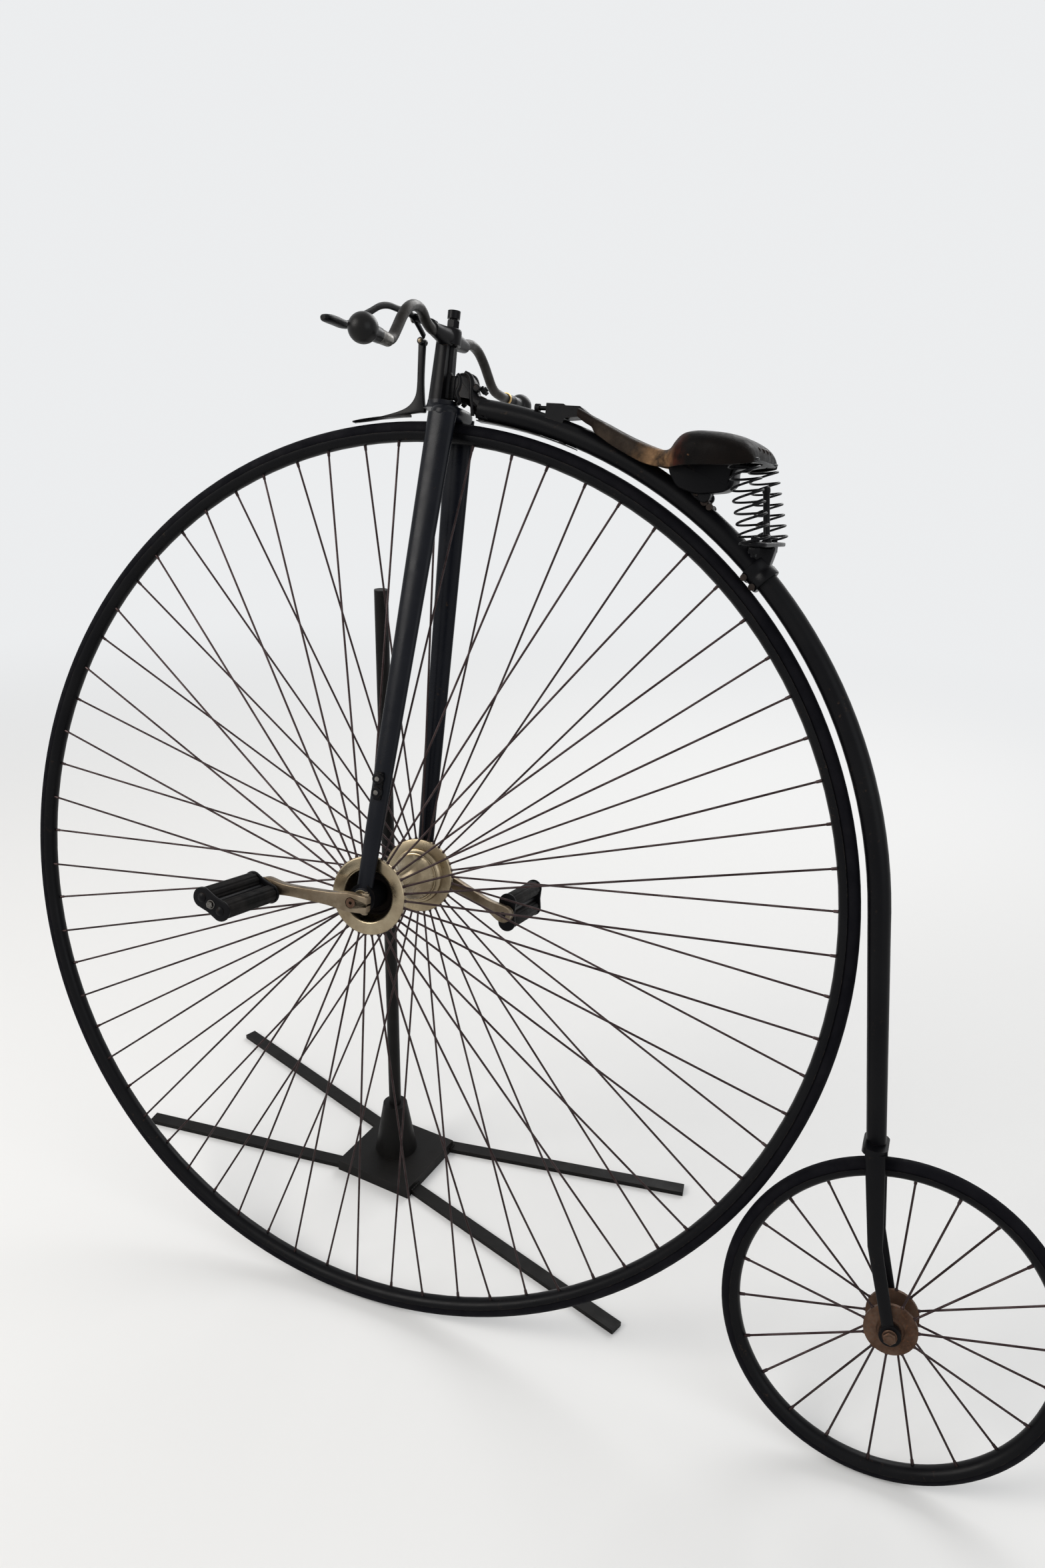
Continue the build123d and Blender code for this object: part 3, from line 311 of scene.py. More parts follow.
# name: bright, dark and rust colours, roughness, scale of the patches, where the specks begin
METALS = {
    "bare_steel": ((0.235, 0.190, 0.135), (0.120, 0.090, 0.060), (0.060, 0.034, 0.020), 0.38, 26),
    "worn_nickel": ((0.37, 0.305, 0.205), (0.20, 0.155, 0.100), (0.085, 0.050, 0.028), 0.27, 20, 0.66),
    "spoke_steel": ((0.050, 0.036, 0.036), (0.028, 0.018, 0.018), (0.06, 0.025, 0.018), 0.45, 24),
    "rusty_steel": ((0.110, 0.070, 0.050), (0.060, 0.033, 0.022), (0.130, 0.058, 0.030), 0.55, 40, 0.55),
    "browned_steel": ((0.042, 0.039, 0.037), (0.020, 0.018, 0.016), (0.030, 0.018, 0.012), 0.44, 30, 0.6),
    "dull_plate": ((0.21, 0.20, 0.185), (0.080, 0.074, 0.066), (0.060, 0.040, 0.028), 0.36, 60, 0.6),
    "black_bolt": ((0.030, 0.024, 0.021), (0.014, 0.011, 0.010), (0.045, 0.024, 0.015), 0.48, 60, 0.6),
    "old_brass": ((0.62, 0.42, 0.17), (0.36, 0.23, 0.09), (0.15, 0.09, 0.04), 0.34, 30, 0.66),
}
FORK_BLACKS = ((0.0022, 0.0028, 0.0052), (0.0048, 0.0056, 0.0085))
MATERIALS = {name: metal(name, *values) for name, values in METALS.items()}
MATERIALS |= {
    "black_enamel": enamel("black_enamel"),
    "stand_paint": stand_black(),
    "tyre_rubber": rubber("tyre_rubber", (0.0024, 0.0024, 0.0038), (0.0058, 0.0054, 0.0070), 300, 0.74),
    "pedal_rubber": rubber("pedal_rubber", (0.006, 0.006, 0.006), (0.020, 0.018, 0.017), 260, 0.64),
    "black_grip": grip(),
    "saddle_leather": leather(),
    # Finishes within a slot; black_wire is for thin bars, whose whole surface would count as an edge
    "black_wire": enamel("black_wire", edges=False),
    "fork_enamel": enamel("fork_enamel", gloss=0.13, rough=(0.20, 0.40), blacks=FORK_BLACKS),
    # Matt near-black: painted shade in the hub's recesses, and the matt black of the mudguard tongue
    "matt_black_and_painted_shade": rubber("matt_black_and_painted_shade", (0.0035, 0.0030, 0.0030), (0.014, 0.010, 0.008), 220, 0.72),
}
NODE_FINISH = {"head_bolt": "black_wire"}


def dress_nodes():
    """Every CAD node shows the material of the slot that its record gives."""
    for subpart in frame["record"]["subparts"]:
        node = frame["nodes"][subpart["node"]]
        node.data.materials.clear()
        finish = NODE_FINISH.get(subpart["node"], subpart["material_slot"])
        node.data.materials.append(MATERIALS[finish])


# Mesh code. Shapes are given in millimetres in the bicycle's upright frame: the origin is where the big
# wheel meets the floor, +X to its rear, +Y to its right, +Z up. The lean goes into each mesh.
FRONT_R = 660.0
REAR_R = 222.0
WHEEL_GAP = 5.6
HUB_Z = FRONT_R
REAR_Z = REAR_R
AXLE_X = math.sqrt((FRONT_R + REAR_R + WHEEL_GAP) ** 2 - (FRONT_R - REAR_R) ** 2)
BACKBONE_R = 682.0
CLAMP_X = 468.0
SADDLE_TURN = math.radians(5)
SADDLE_PIVOT_Z = FRONT_R + math.sqrt(BACKBONE_R ** 2 - CLAMP_X ** 2) + 35
SPRING_Y = 66.0
BAR_Z = 1430.0
UPRIGHT = Matrix.Translation(HUB - HUB_Z / 1000 * EZ) @ BIKE_AXES.to_4x4()
SMOOTH_ANGLE = math.radians(38)
NUT = ((0.92, 0), (1, 0.14), (1, 0.86), (0.9, 1), (0.55, 1.02))     # (share of its radius, of its thickness)


def full_turn(count, first=0.0):
    """Angles that go once round, from the given share of a step."""
    return [2 * math.pi * (k + first) / count for k in range(count)]


class Shape:
    """Vertices and faces that are gathered into one piece."""

    def __init__(self):
        self.verts = []
        self.faces = []

    def rings(self, rings, closed=False):
        """Skin over rings of equally many points, with flat ends unless the last ring joins the first."""
        first, count = len(self.verts), len(rings[0])
        for ring in rings:
            self.verts.extend(ring)
        for i in range(len(rings) if closed else len(rings) - 1):
            a, b = first + i * count, first + (i + 1) % len(rings) * count
            for j in range(count):
                k = (j + 1) % count
                self.faces.append((a + j, a + k, b + k, b + j))
        if not closed:
            end = first + (len(rings) - 1) * count
            self.faces.append(tuple(first + j for j in reversed(range(count))))
            self.faces.append(tuple(end + j for j in range(count)))

    def lathe(self, profile, centre, axis, steps, closed=False):
        """Turned solid: (radius, distance along the axis) pairs round an axis through the centre."""
        axis = Vector(axis).normalized()
        side = axis.orthogonal().normalized()
        other = axis.cross(side)
        rings = []
        for radius, along in profile:
            middle = Vector(centre) + axis * along
            r = max(radius, 0.01)
            rings.append([middle + r * (math.cos(t) * side + math.sin(t) * other) for t in full_turn(steps)])
        self.rings(rings, closed)

    def tube(self, points, radii, sides):
        """Round bar along points, with a radius for each."""
        points = [Vector(p) for p in points]
        side = (points[1] - points[0]).normalized().orthogonal().normalized()
        rings = []
        for i, point in enumerate(points):
            ahead = (points[min(i + 1, len(points) - 1)] - points[max(i - 1, 0)]).normalized()
            side = (side - side.dot(ahead) * ahead).normalized()
            other = ahead.cross(side)
            rings.append([point + radii[i] * (math.cos(t) * side + math.sin(t) * other)
                          for t in full_turn(sides)])
        self.rings(rings)

    def slab(self, outline, place, low, high, bevel, steps=3):
        """Outline pushed between two levels with rounded rims; place turns (u, v, level) into a point."""
        points = [Vector(p) for p in outline]
        count = len(points)
        area = sum(points[i - 1].x * points[i].y - points[i].x * points[i - 1].y for i in range(count))
        turn = 1 if area > 0 else -1
        inward = []
        for i in range(count):
            way = (points[(i + 1) % count] - points[i - 1]).normalized()
            inward.append(Vector((-way.y, way.x)) * turn)
        rim = [(bevel * (1 - math.cos(a)), bevel * (1 - math.sin(a)))
               for a in (math.pi / 2 * k / steps for k in range(steps + 1))]
        levels = [(low + up, inset) for up, inset in rim]
        levels += [(high - up, inset) for up, inset in reversed(rim)]
        self.rings([[place(*(p + q * inset), level) for p, q in zip(points, inward)]
                    for level, inset in levels])

    def hexagon(self, centre, axis, across, thick):
        """Nut or bolt head with chamfered corners."""
        r = across / math.sqrt(3)
        self.lathe([(r * size, thick * along) for size, along in NUT], centre, axis, 6)

    def build(self, name, body, slot, node=None, sharp=SMOOTH_ANGLE, finish=None):
        """The mesh, dressed, riding on a body, and standing in for a node if one is named."""
        mesh = bpy.data.meshes.new(name)
        mesh.from_pydata([Vector(v) / 1000 for v in self.verts], [], self.faces)
        bm = bmesh.new()
        bm.from_mesh(mesh)
        bmesh.ops.remove_doubles(bm, verts=bm.verts, dist=1e-6)
        bmesh.ops.recalc_face_normals(bm, faces=bm.faces)
        bm.to_mesh(mesh)
        bm.free()
        mesh.transform(UPRIGHT)
        mesh.shade_smooth()
        mesh.set_sharp_from_angle(angle=sharp)
        mesh.materials.append(MATERIALS[finish or slot])
        piece = bpy.data.objects.new(name, mesh)
        bpy.context.scene.collection.objects.link(piece)
        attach(piece, body)
        if node:
            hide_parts(node)


def smooth_path(points, per_span):
    """Points along a curve that passes through all the given ones."""
    points = [Vector(p) for p in points]
    padded = [2 * points[0] - points[1], *points, 2 * points[-1] - points[-2]]
    out = []
    for i in range(1, len(padded) - 2):
        p0, p1, p2, p3 = padded[i - 1 : i + 3]
        for k in range(per_span):
            t = k / per_span
            out.append(0.5 * (
                2 * p1 + (p2 - p0) * t + (2 * p0 - 5 * p1 + 4 * p2 - p3) * t * t
                + (3 * p1 - p0 - 3 * p2 + p3) * t ** 3
            ))
    return [*out, points[-1]]


def rounded(outline, radius, steps=5):
    """The outline with its corners turned into curves; a corner's third number is a radius of its own."""
    out = []
    for i, corner in enumerate(outline):
        here = Vector(corner[:2])
        size = corner[2] if len(corner) > 2 else radius
        ends = []
        for near in (outline[i - 1], outline[(i + 1) % len(outline)]):
            way = Vector(near[:2]) - here
            ends.append(here + way * min(size / max(way.length, 1e-6), 0.48))
        for k in range(steps + 1):
            t = k / steps
            out.append((1 - t) ** 2 * ends[0] + 2 * t * (1 - t) * here + t * t * ends[1])
    return out


def mirrored(half, middle):
    """Outline along one half, through the middle point, and back along the half's mirror image."""
    return [*half, middle, *((u, -v, size) for u, v, size in reversed(half))]


def on_xz(u, v, level):
    return Vector((u, level, v))


def on_xy(u, v, level):
    return Vector((u, v, level))


def round_axle(x, z, radius, degrees, y):
    """A place at a radius round an axle, degrees up from straight back."""
    a = math.radians(degrees)
    return Vector((x + radius * math.cos(a), y, z + radius * math.sin(a)))


def slipped(point):
    """Where a point of the sprung saddle goes when it has slipped round the backbone."""
    x, y, z = point
    high = z - SADDLE_PIVOT_Z
    return Vector((x, y * math.cos(SADDLE_TURN) - high * math.sin(SADDLE_TURN),
                   SADDLE_PIVOT_Z + y * math.sin(SADDLE_TURN) + high * math.cos(SADDLE_TURN)))


def slipped_xz(u, v, level):
    return slipped((u, level, v))


def slipped_xy(u, v, level):
    return slipped((u, v, level))


def long_oval(x, half, wide, round_by, steps, first=0.0):
    """Plate across the bicycle with round ends, whose centres lie half to each side of the middle plane."""
    return [(x + wide * math.cos(a), (half if math.sin(a) >= 0 else -half) + round_by * math.sin(a))
            for a in full_turn(steps, first)]


# Tyres: smooth solid rubber with two faint moulding lines
TYRE_R = 11.0
TYRE_SIDES = 28
MOULDING_AT = (4, 10)
MOULDING_DEPTH = 0.25


def make_tyre(name, node, body, x, z, radius, steps):
    shape = Shape()
    rings = []
    for turn in full_turn(steps):
        ring = []
        for j, a in enumerate(full_turn(TYRE_SIDES)):
            r = TYRE_R - (MOULDING_DEPTH if j in MOULDING_AT else 0)
            out = radius - TYRE_R + r * math.sin(a)
            ring.append((x + out * math.cos(turn), r * math.cos(a), z + out * math.sin(turn)))
        rings.append(ring)
    shape.rings(rings, closed=True)
    shape.build(name, body, "tyre_rubber", node=node)


# Springs: round wire with flat end turns
SPRING_FOOT = (CLAMP_X, SADDLE_PIVOT_Z + 5)
SPRING_HEAD = (442.0, SADDLE_PIVOT_Z + 98)
SPRING_COIL = 18.4
SPRING_WIRE = 1.5
SPRING_TURNS = 8.0
SPRING_FLAT = 0.6              # of a turn that lies flat at each end
SPRING_STEPS = 208


def make_spring(name, node, side):
    foot, head = (Vector((x, side * SPRING_Y, z)) for x, z in (SPRING_FOOT, SPRING_HEAD))
    up = (head - foot).normalized()
    across = Vector((0, 1, 0))
    other = up.cross(across)
    points = []
    for k in range(SPRING_STEPS + 1):
        turn = SPRING_TURNS * k / SPRING_STEPS
        share = min(max((turn - SPRING_FLAT) / (SPRING_TURNS - 2 * SPRING_FLAT), 0), 1)
        rise = SPRING_WIRE + share * ((head - foot).length - 2 * SPRING_WIRE)
        a = 2 * math.pi * turn
        points.append(slipped(foot + up * rise + SPRING_COIL * (math.cos(a) * across + math.sin(a) * other)))
    shape = Shape()
    shape.tube(points, [SPRING_WIRE] * len(points), 8)
    shape.build(name, "frame", "black_enamel", finish="black_wire", node=node)


# Saddle leather: (x, top, half width, shoulder, lower edge, sag of the middle)
LEATHER = (
    (209, 1345, 13, 1341, 1335, 0), (220, 1340, 14, 1336, 1328, 0), (230, 1335.5, 15, 1331, 1323, 0),
    (236, 1333, 19, 1328, 1316, 0), (246, 1329, 21, 1324, 1310, 1), (264, 1321, 23, 1316, 1300, 2),
    (284, 1313, 26, 1307, 1291, 3), (304, 1306, 30, 1300, 1283, 4), (322, 1301, 35, 1294, 1279, 4),
    (336, 1299, 44, 1291, 1278, 3), (346, 1302, 55, 1293, 1278, 2), (354, 1311, 67, 1298, 1278, 1),
    (362, 1318, 77, 1303, 1279, 1), (372, 1321.5, 85, 1306, 1280, 1), (386, 1323, 90, 1308, 1281, 1),
    (408, 1322.5, 94, 1308, 1282, 1), (426, 1320.5, 95, 1306, 1283, 0), (440, 1316.5, 93, 1303, 1284.5, 0),
    (450, 1310.5, 90, 1300, 1286.5, 0), (456, 1303.5, 86, 1296, 1288, 0), (458.5, 1297, 82, 1293, 1289, 0),
)
LEATHER_THICK = 4.5
LEATHER_LIP = Vector((0, 0, 0.9))      # how far its edge is rounded out downwards


def leather_section(station, inset):
    """Half of the cross-section from the middle to the lower edge."""
    x, top, half, shoulder, low, sag = station
    half -= inset
    drop = top - shoulder
    points = [
        (0, top - sag - inset), (0.25 * half, top - 0.75 * sag - inset),
        (0.5 * half, top - 0.1 * sag - 0.6 - inset), (0.72 * half, top - 0.12 * drop - inset),
        (0.88 * half, top - 0.42 * drop - 0.9 * inset), (0.975 * half, shoulder - 0.35 * inset),
        (half, 0.6 * shoulder + 0.4 * low), (half - 0.6, low),
    ]
    return [Vector((x, y, z)) for y, z in points]


def leather_rows(inset):
    """Rows of points from edge to edge, one for each step along the saddle."""
    lines = [smooth_path(line, 4) for line in zip(*(leather_section(station, inset) for station in LEATHER))]
    rows = []
    for section in zip(*lines):
        half = smooth_path(section, 3)
        rows.append([Vector((p.x, -p.y, p.z)) for p in reversed(half)] + half[1:])
    return rows


def make_leather():
    rings = []
    for outer, inner in zip(leather_rows(0.0), leather_rows(LEATHER_THICK)):
        left, right = ((outer[end] + inner[end]) / 2 - LEATHER_LIP for end in (0, -1))
        rings.append([slipped(p) for p in [*outer, right, *reversed(inner), left]])
    shape = Shape()
    shape.rings(rings)
    shape.build("saddle_leather_skin", "frame", "saddle_leather",
                sharp=math.radians(60), node="saddle_leather")


# Rivets that hold the leather: dark domed heads along its rear edge, each (x, y, z)
RIVETS = (
    (453, -62, 1301), (454, -38, 1305), (455, -13, 1305), (455, 13, 1305), (454, 38, 1305), (453, 62, 1301),
)


def make_rivets():
    shape = Shape()
    for place in RIVETS:
        dome = [(3.8, -1), (3.8, 0.2), (3.0, 1.2), (1.6, 1.8), (0, 2.0)]
        shape.lathe(dome, slipped(place), (0.75, 0, 0.66), 14)
    shape.build("saddle_rivets", "frame", "bare_steel", finish="black_bolt")


# Spokes: a small head where each one meets the rim, and a collar at the hub
def make_spoke_ends(name, body, x, z, count, hub_radius, rim_radius, hub_y):
    shape = Shape()
    for i in range(count):
        side = 1 if i % 2 else -1
        turn = (i + 0.5) * 360 / count
        foot = round_axle(x, z, hub_radius, turn, side * hub_y)
        tip = round_axle(x, z, rim_radius, turn, side * 3.0)
        way = (tip - foot).normalized()
        shape.lathe([(2.4, -0.6), (2.4, 0.8), (1.9, 2.2), (1.5, 3.4)], foot, way, 8)
        shape.lathe([(1.5, -7), (2.1, -6), (2.3, -1), (2.5, 0.8)], tip, way, 8)
    shape.build(name, body, "spoke_steel")


# Handlebar: one smooth bent tube whose right end stands a little higher, (x, y, rise over its root)
BAR_LINE = (
    (15, -218, -47.5), (15, -196, -47), (15, -186, -45), (14, -177, -39), (13, -166, -25.5),
    (12, -154, -9.5), (11, -140, 3.5), (9, -122, 11.5), (7, -103, 14), (5.5, -88, 11.5), (4, -77, 6.5),
    (4, -67, 2), (4, -52, -1), (4, -20, 0), (4, 20, 0), (4, 48, 3), (4, 60, 6.5), (4.5, 77, 8.5), (6, 96, 4),
    (8, 114.6, -8), (9.5, 129, -20.5), (11, 142, -32), (12.5, 154, -38.5), (15, 170, -41), (15, 190, -41),
    (15, 218, -41),
)
BAR_TUBE = 7.0
BALL_RADIUS = 18.2
BALL_END = 270.4
BAR_TIP = 216.0
GRIPS = (("left", -1, -47.5, -0.02), ("right", 1, -41.0, 0.0))     # name, side, rise, tilt


def make_handlebar():
    tube = Shape()
    line = smooth_path([(x, y, BAR_Z + rise) for x, y, rise in BAR_LINE], 6)
    tube.tube(line, [BAR_TUBE] * len(line), 20)
    tube.build("handlebar_tube", "steering", "bare_steel", finish="browned_steel", node="handlebar")
    for name, side, rise, tilt in GRIPS:
        root = Vector((15, side * BAR_TIP, BAR_Z + rise))
        out = Vector((0, side, tilt))
        middle = BALL_END - BAR_TIP - BALL_RADIUS
        first = math.asin(10.6 / BALL_RADIUS)
        ball = [(8.4, 0), (9.3, 0.4), (9.6, 2), (9.7, 9), (10.0, middle - 17.5)]
        for k in range(19):
            a = first + (math.pi - first) * k / 18
            ball.append((BALL_RADIUS * math.sin(a), middle - BALL_RADIUS * math.cos(a)))
        grip_shape = Shape()
        grip_shape.lathe(ball, root, out, 40)
        grip_shape.build(name + "_ball_grip", "steering", "black_grip", node=name + "_grip")
        sleeve = Shape()
        sleeve.lathe([(7.2, -27), (7.8, -26.6), (8.1, -25), (8.6, -12), (9.0, -3), (9.4, -2.2), (9.4, -0.4),
                      (8.9, 0.2)], root, out, 28)
        slot, finish = ("worn_nickel", "dull_plate") if side < 0 else ("black_enamel", None)
        sleeve.build(name + "_grip_sleeve", "steering", slot, finish=finish, node=name + "_ferrule")
    ring = Shape()
    ring.lathe([(7.2, 0), (9.0, 0.3), (9.3, 1.2), (9.3, 4.2), (9.0, 5.2), (7.2, 5.4)],
               (15, 190, BAR_Z - 41), (0, 1, 0), 28)
    ring.build("right_grip_ring", "steering", "worn_nickel", finish="old_brass")


# Brake lever: a strap that swells into a rounded paddle, with its pivot bolt,
# (x, y, rise over the bar's root, half height, half depth)
LEVER_LINE = (
    (-27, -14, -1, 4.4, 1.9), (-27, -33, 8, 4.4, 1.9), (-27, -51, 15, 4.6, 2.0), (-27, -70, 16.5, 4.4, 1.8),
    (-27, -95, 13.5, 4.2, 1.8), (-27, -120, 11, 4.2, 1.8), (-27, -142, 4.5, 4.2, 1.8),
    (-27, -163, -7, 4.2, 1.9), (-27, -185, -19, 4.4, 2.1), (-27, -203, -30.5, 4.6, 3.2),
    (-27, -218, -37, 4.9, 5.2), (-26, -232, -39.5, 5.1, 6.6), (-25, -248, -40.5, 5.2, 7.2),
    (-24, -264, -42, 5.0, 7.0), (-24, -273, -43, 4.2, 6.0), (-24, -278, -43.5, 2.0, 3.4),
)


def make_lever():
    shape = Shape()
    line = smooth_path([p[:3] for p in LEVER_LINE], 4)
    sizes = smooth_path([(p[3], p[4], 0) for p in LEVER_LINE], 4)
    rings = []
    for k, (point, size) in enumerate(zip(line, sizes)):
        way = (line[min(k + 1, len(line) - 1)] - line[max(k - 1, 0)]).normalized()
        up = Vector((1, 0, 0)).cross(way).normalized()
        ring = []
        for a in full_turn(16):
            u, v = (math.copysign(abs(f) ** 0.7, f) for f in (math.cos(a), math.sin(a)))
            ring.append(Vector((0, 0, BAR_Z)) + point + u * size.x * up + v * size.y * Vector((1, 0, 0)))
        rings.append(ring)
    shape.rings(rings)
    shape.build("brake_lever_strap", "steering", "black_enamel", finish="black_wire", node="brake_lever")
    bolt = Shape()
    bolt.lathe([(6.4, 0), (6.4, 1.2), (5.6, 2.0), (3.2, 2.0), (3.0, 3.6), (0, 4.2)],
               (-30, -44, BAR_Z + 15), (-1, 0, 0), 20)
    bolt.hexagon((-24, -44, BAR_Z + 15), (1, 0, 0), 9, 5)
    bolt.lathe([(3.0, -4), (3.0, 8)], (-27, -44, BAR_Z + 15), (1, 0, 0), 14)
    bolt.build("brake_pivot_bolt", "steering", "bare_steel", finish="dull_plate")


# Brake spoon: a slim bar that flares forward into a thin spoon along the tyre
SPOON_BAR = (
    (-31, 1427), (-30, 1400), (-28.5, 1375), (-26, 1356), (-24, 1344), (-21.5, 1336), (-22, 1331),
    (-30, 1330.5), (-47, 1327.5), (-76, 1321.5), (-104, 1316), (-130, 1312.2), (-131, 1314.2), (-108, 1319),
    (-91, 1322.5), (-76, 1326.5), (-62, 1331), (-51, 1336), (-43, 1343), (-38, 1353), (-37, 1366),
    (-38.5, 1390), (-41, 1427),
)
SPOON_UNDER = 665.8            # radius of its lower face round the big wheel's axle
SPOON_RINGS = 14


def make_spoon():
    shape = Shape()
    outline = smooth_path([(x, z, 0) for x, z in SPOON_BAR], 3)
    shape.slab([(p.x, p.y) for p in outline], on_xz, -3.6, 3.6, 1.6)
    rings = []
    for k in range(SPOON_RINGS + 1):
        x = -44 - 88 * k / SPOON_RINGS
        under = HUB_Z + math.sqrt(SPOON_UNDER ** 2 - x * x)
        narrower = {SPOON_RINGS - 1: 0.6, SPOON_RINGS: 2.2}.get(k, 0)
        wide = 3.8 + 4.2 * math.sin(math.pi * min(k / 11, 1) * 0.5) - narrower
        thick = 3.4 - 1.7 * k / SPOON_RINGS
        rings.append([Vector((x, y, under + up)) for y, up in (
            (-wide, 0.6), (-wide * 0.9, 0), (0, 0), (wide * 0.9, 0), (wide, 0.6), (wide * 0.92, thick * 0.8),
            (wide * 0.4, thick), (-wide * 0.4, thick), (-wide * 0.92, thick * 0.8))])
    shape.rings(rings)
    shape.lathe([(4.2, -8), (4.8, -7.4), (4.8, 7.4), (4.2, 8)], (-36, 0, 1425), (0, 1, 0), 20)
    shape.build("brake_spoon_forging", "steering", "black_enamel", finish="black_wire", node="brake_spoon")
    pins = Shape()
    pins.lathe([(3.0, 0), (3.0, 1.0), (2.0, 1.8), (0, 2.0)], (-36, -8, 1425), (0, -1, 0), 16)
    pins.lathe([(2.4, 0), (2.2, 1.0), (0, 1.4)], (-99, 0, 1318.6), (0.1, 0, 1), 14)
    pins.build("brake_pins", "steering", "bare_steel")


# Fork: two oval blades that round into the crown, each with an eye over the axle,
# (x, y, z, half width, half thickness) at both ends of the right blade
BLADE_LOW = (0.0, 95.0, 664.0, 12.0, 6.5)
BLADE_TOP = (19.0, 30.0, 1328.0, 21.0, 9.0)
# (share of the way up, share of the full section)
BLADE_RINGS = ((-0.022, 0.45), (-0.018, 0.82), *((t, 1) for t in (-0.008, 0, 0.1, 0.25, 0.5, 0.75, 0.9, 1)))
FORK_EYE_Y = 95.0
CROWN_LOW = 1326.0
CROWN_TOP = 1339.0
LAMP_Z = 818.0


def blade_at(t):
    return (low + (top - low) * t for low, top in zip(BLADE_LOW, BLADE_TOP))


def make_fork():
    shape = Shape()
    for side in (-1, 1):
        rings = []
        for t, fit in BLADE_RINGS:
            x, y, z, wide, thick = blade_at(t)
            deep = thick * (0.6 + 0.4 * fit)
            rings.append([Vector((x + wide * fit * math.cos(a), side * (y + deep * math.sin(a)), z))
                          for a in full_turn(36)])
        shape.rings(rings)
        shape.lathe([(12.6, -6.5), (14.6, -6.2), (15.2, -5), (15.2, 4.6), (14.4, 6.2), (12.4, 6.8),
                     (9.2, 6.8)], (0, side * FORK_EYE_Y, HUB_Z), (0, side, 0), 36)
    shape.slab(long_oval(19, 18.5, 21, 21, 40, 0.5), on_xy, CROWN_LOW - 8, CROWN_TOP, 9.0, 6)
    shape.lathe([(27, -4), (24.6, -1.6), (22.6, 0.6), (21.6, 3.6), (21.2, 8), (18, 8)],
                (4, 0, CROWN_TOP), (0, 0, 1), 40)
    shape.build("fork_forging", "steering", "black_enamel", finish="fork_enamel", node="fork")
    rings = Shape()
    for side in (-1, 1):
        rings.lathe([(9.4, 6.8), (12.0, 6.9), (12.2, 7.6), (11.6, 8.3), (9.2, 8.4), (8.4, 7.0)],
                    (0, side * FORK_EYE_Y, HUB_Z), (0, side, 0), 30)
    rings.build("fork_eye_washers", "steering", "worn_nickel")
    bracket = Shape()
    t = (LAMP_Z - BLADE_LOW[2]) / (BLADE_TOP[2] - BLADE_LOW[2])
    middle, out, _, _, thick = blade_at(t)
    face = -out - thick
    block = rounded([(-6, 799), (6, 799), (6, 838), (-6, 838)], 3)
    bracket.slab([(x + middle, z) for x, z in block], on_xz, face - 5.5, face + 2.5, 1.5)
    bracket.lathe([(8, -1), (8, 2.2), (7, 3.4), (5, 3.8)], (middle, face - 5, 829), (0, -1, 0), 24)
    bracket.lathe([(8, -1), (7.4, 3.2), (4, 3.6)], (middle, face - 5, 810), (0, -1, 0), 24)
    bracket.build("lamp_bracket_block", "steering", "black_enamel", node="lamp_bracket")
    bolt = Shape()
    for z in (829, 810):
        bolt.lathe([(3.6, -1), (3.6, 1.0), (2.8, 1.9), (0, 2.2)], (middle, face - 8.2, z), (0, -1, 0), 18)
    bolt.build("lamp_bracket_bolts", "steering", "bare_steel", finish="dull_plate")


# Steering head: a column that widens to its foot, open at the back, with a swelling lug for each half of
# the bar, (height, radius)
HEAD_X = 4.0
HEAD_LEVELS = (
    (1339, 21.2), (1345, 20.8), (1421, 17.2), (1438, 16.6), (1441, 16.1), (1442.6, 14.8), (1443, 13.2),
)
HEAD_SLOT = (1345.0, 1421.0)
HEAD_OPEN_X = 10.0


def make_head():
    def radius_at(z):
        for (low, r_low), (high, r_high) in zip(HEAD_LEVELS, HEAD_LEVELS[1:]):
            if z <= high:
                return r_low + (r_high - r_low) * (z - low) / (high - low)

    shape = Shape()
    shape.lathe([(radius_at(z), z) for z in (1339, 1345)], (HEAD_X, 0, 0), (0, 0, 1), 48)
    shape.lathe([(r, z) for z, r in HEAD_LEVELS[2:]], (HEAD_X, 0, 0), (0, 0, 1), 48)
    rings = []
    for k in range(9):
        z = HEAD_SLOT[0] + (HEAD_SLOT[1] - HEAD_SLOT[0]) * k / 8
        r = radius_at(z)
        first = math.acos((HEAD_OPEN_X - HEAD_X) / r)
        ring = [(HEAD_OPEN_X, 8.5, z)]
        ring += [(HEAD_X + r * math.cos(a), r * math.sin(a), z)
                 for a in (first + (2 * math.pi - 2 * first) * i / 40 for i in range(41))]
        ring += [(HEAD_OPEN_X, -8.5, z), (-2, -8.5, z), (-2, 8.5, z)]
        rings.append([Vector(p) for p in ring])
    shape.rings(rings)
    for side in (-1, 1):
        shape.lathe([(13.2, 6), (12.8, 14), (11.6, 24), (10.0, 38), (8.8, 49), (8.3, 52), (7.0, 52.6)],
                    (HEAD_X, 0, BAR_Z), (0, side, 0.02), 32)
    arm = rounded([(4, -50), (-24, -50), (-33, -46), (-33, -38), (-22, -37), (4, -34)], 5, 4)
    shape.slab(arm, lambda u, v, level: Vector((u, v, level + BAR_Z + 8 - 0.25 * (u - 4))), -5, 5, 2.0)
    shape.build("steering_head_column", "steering", "black_enamel", node="steering_head")


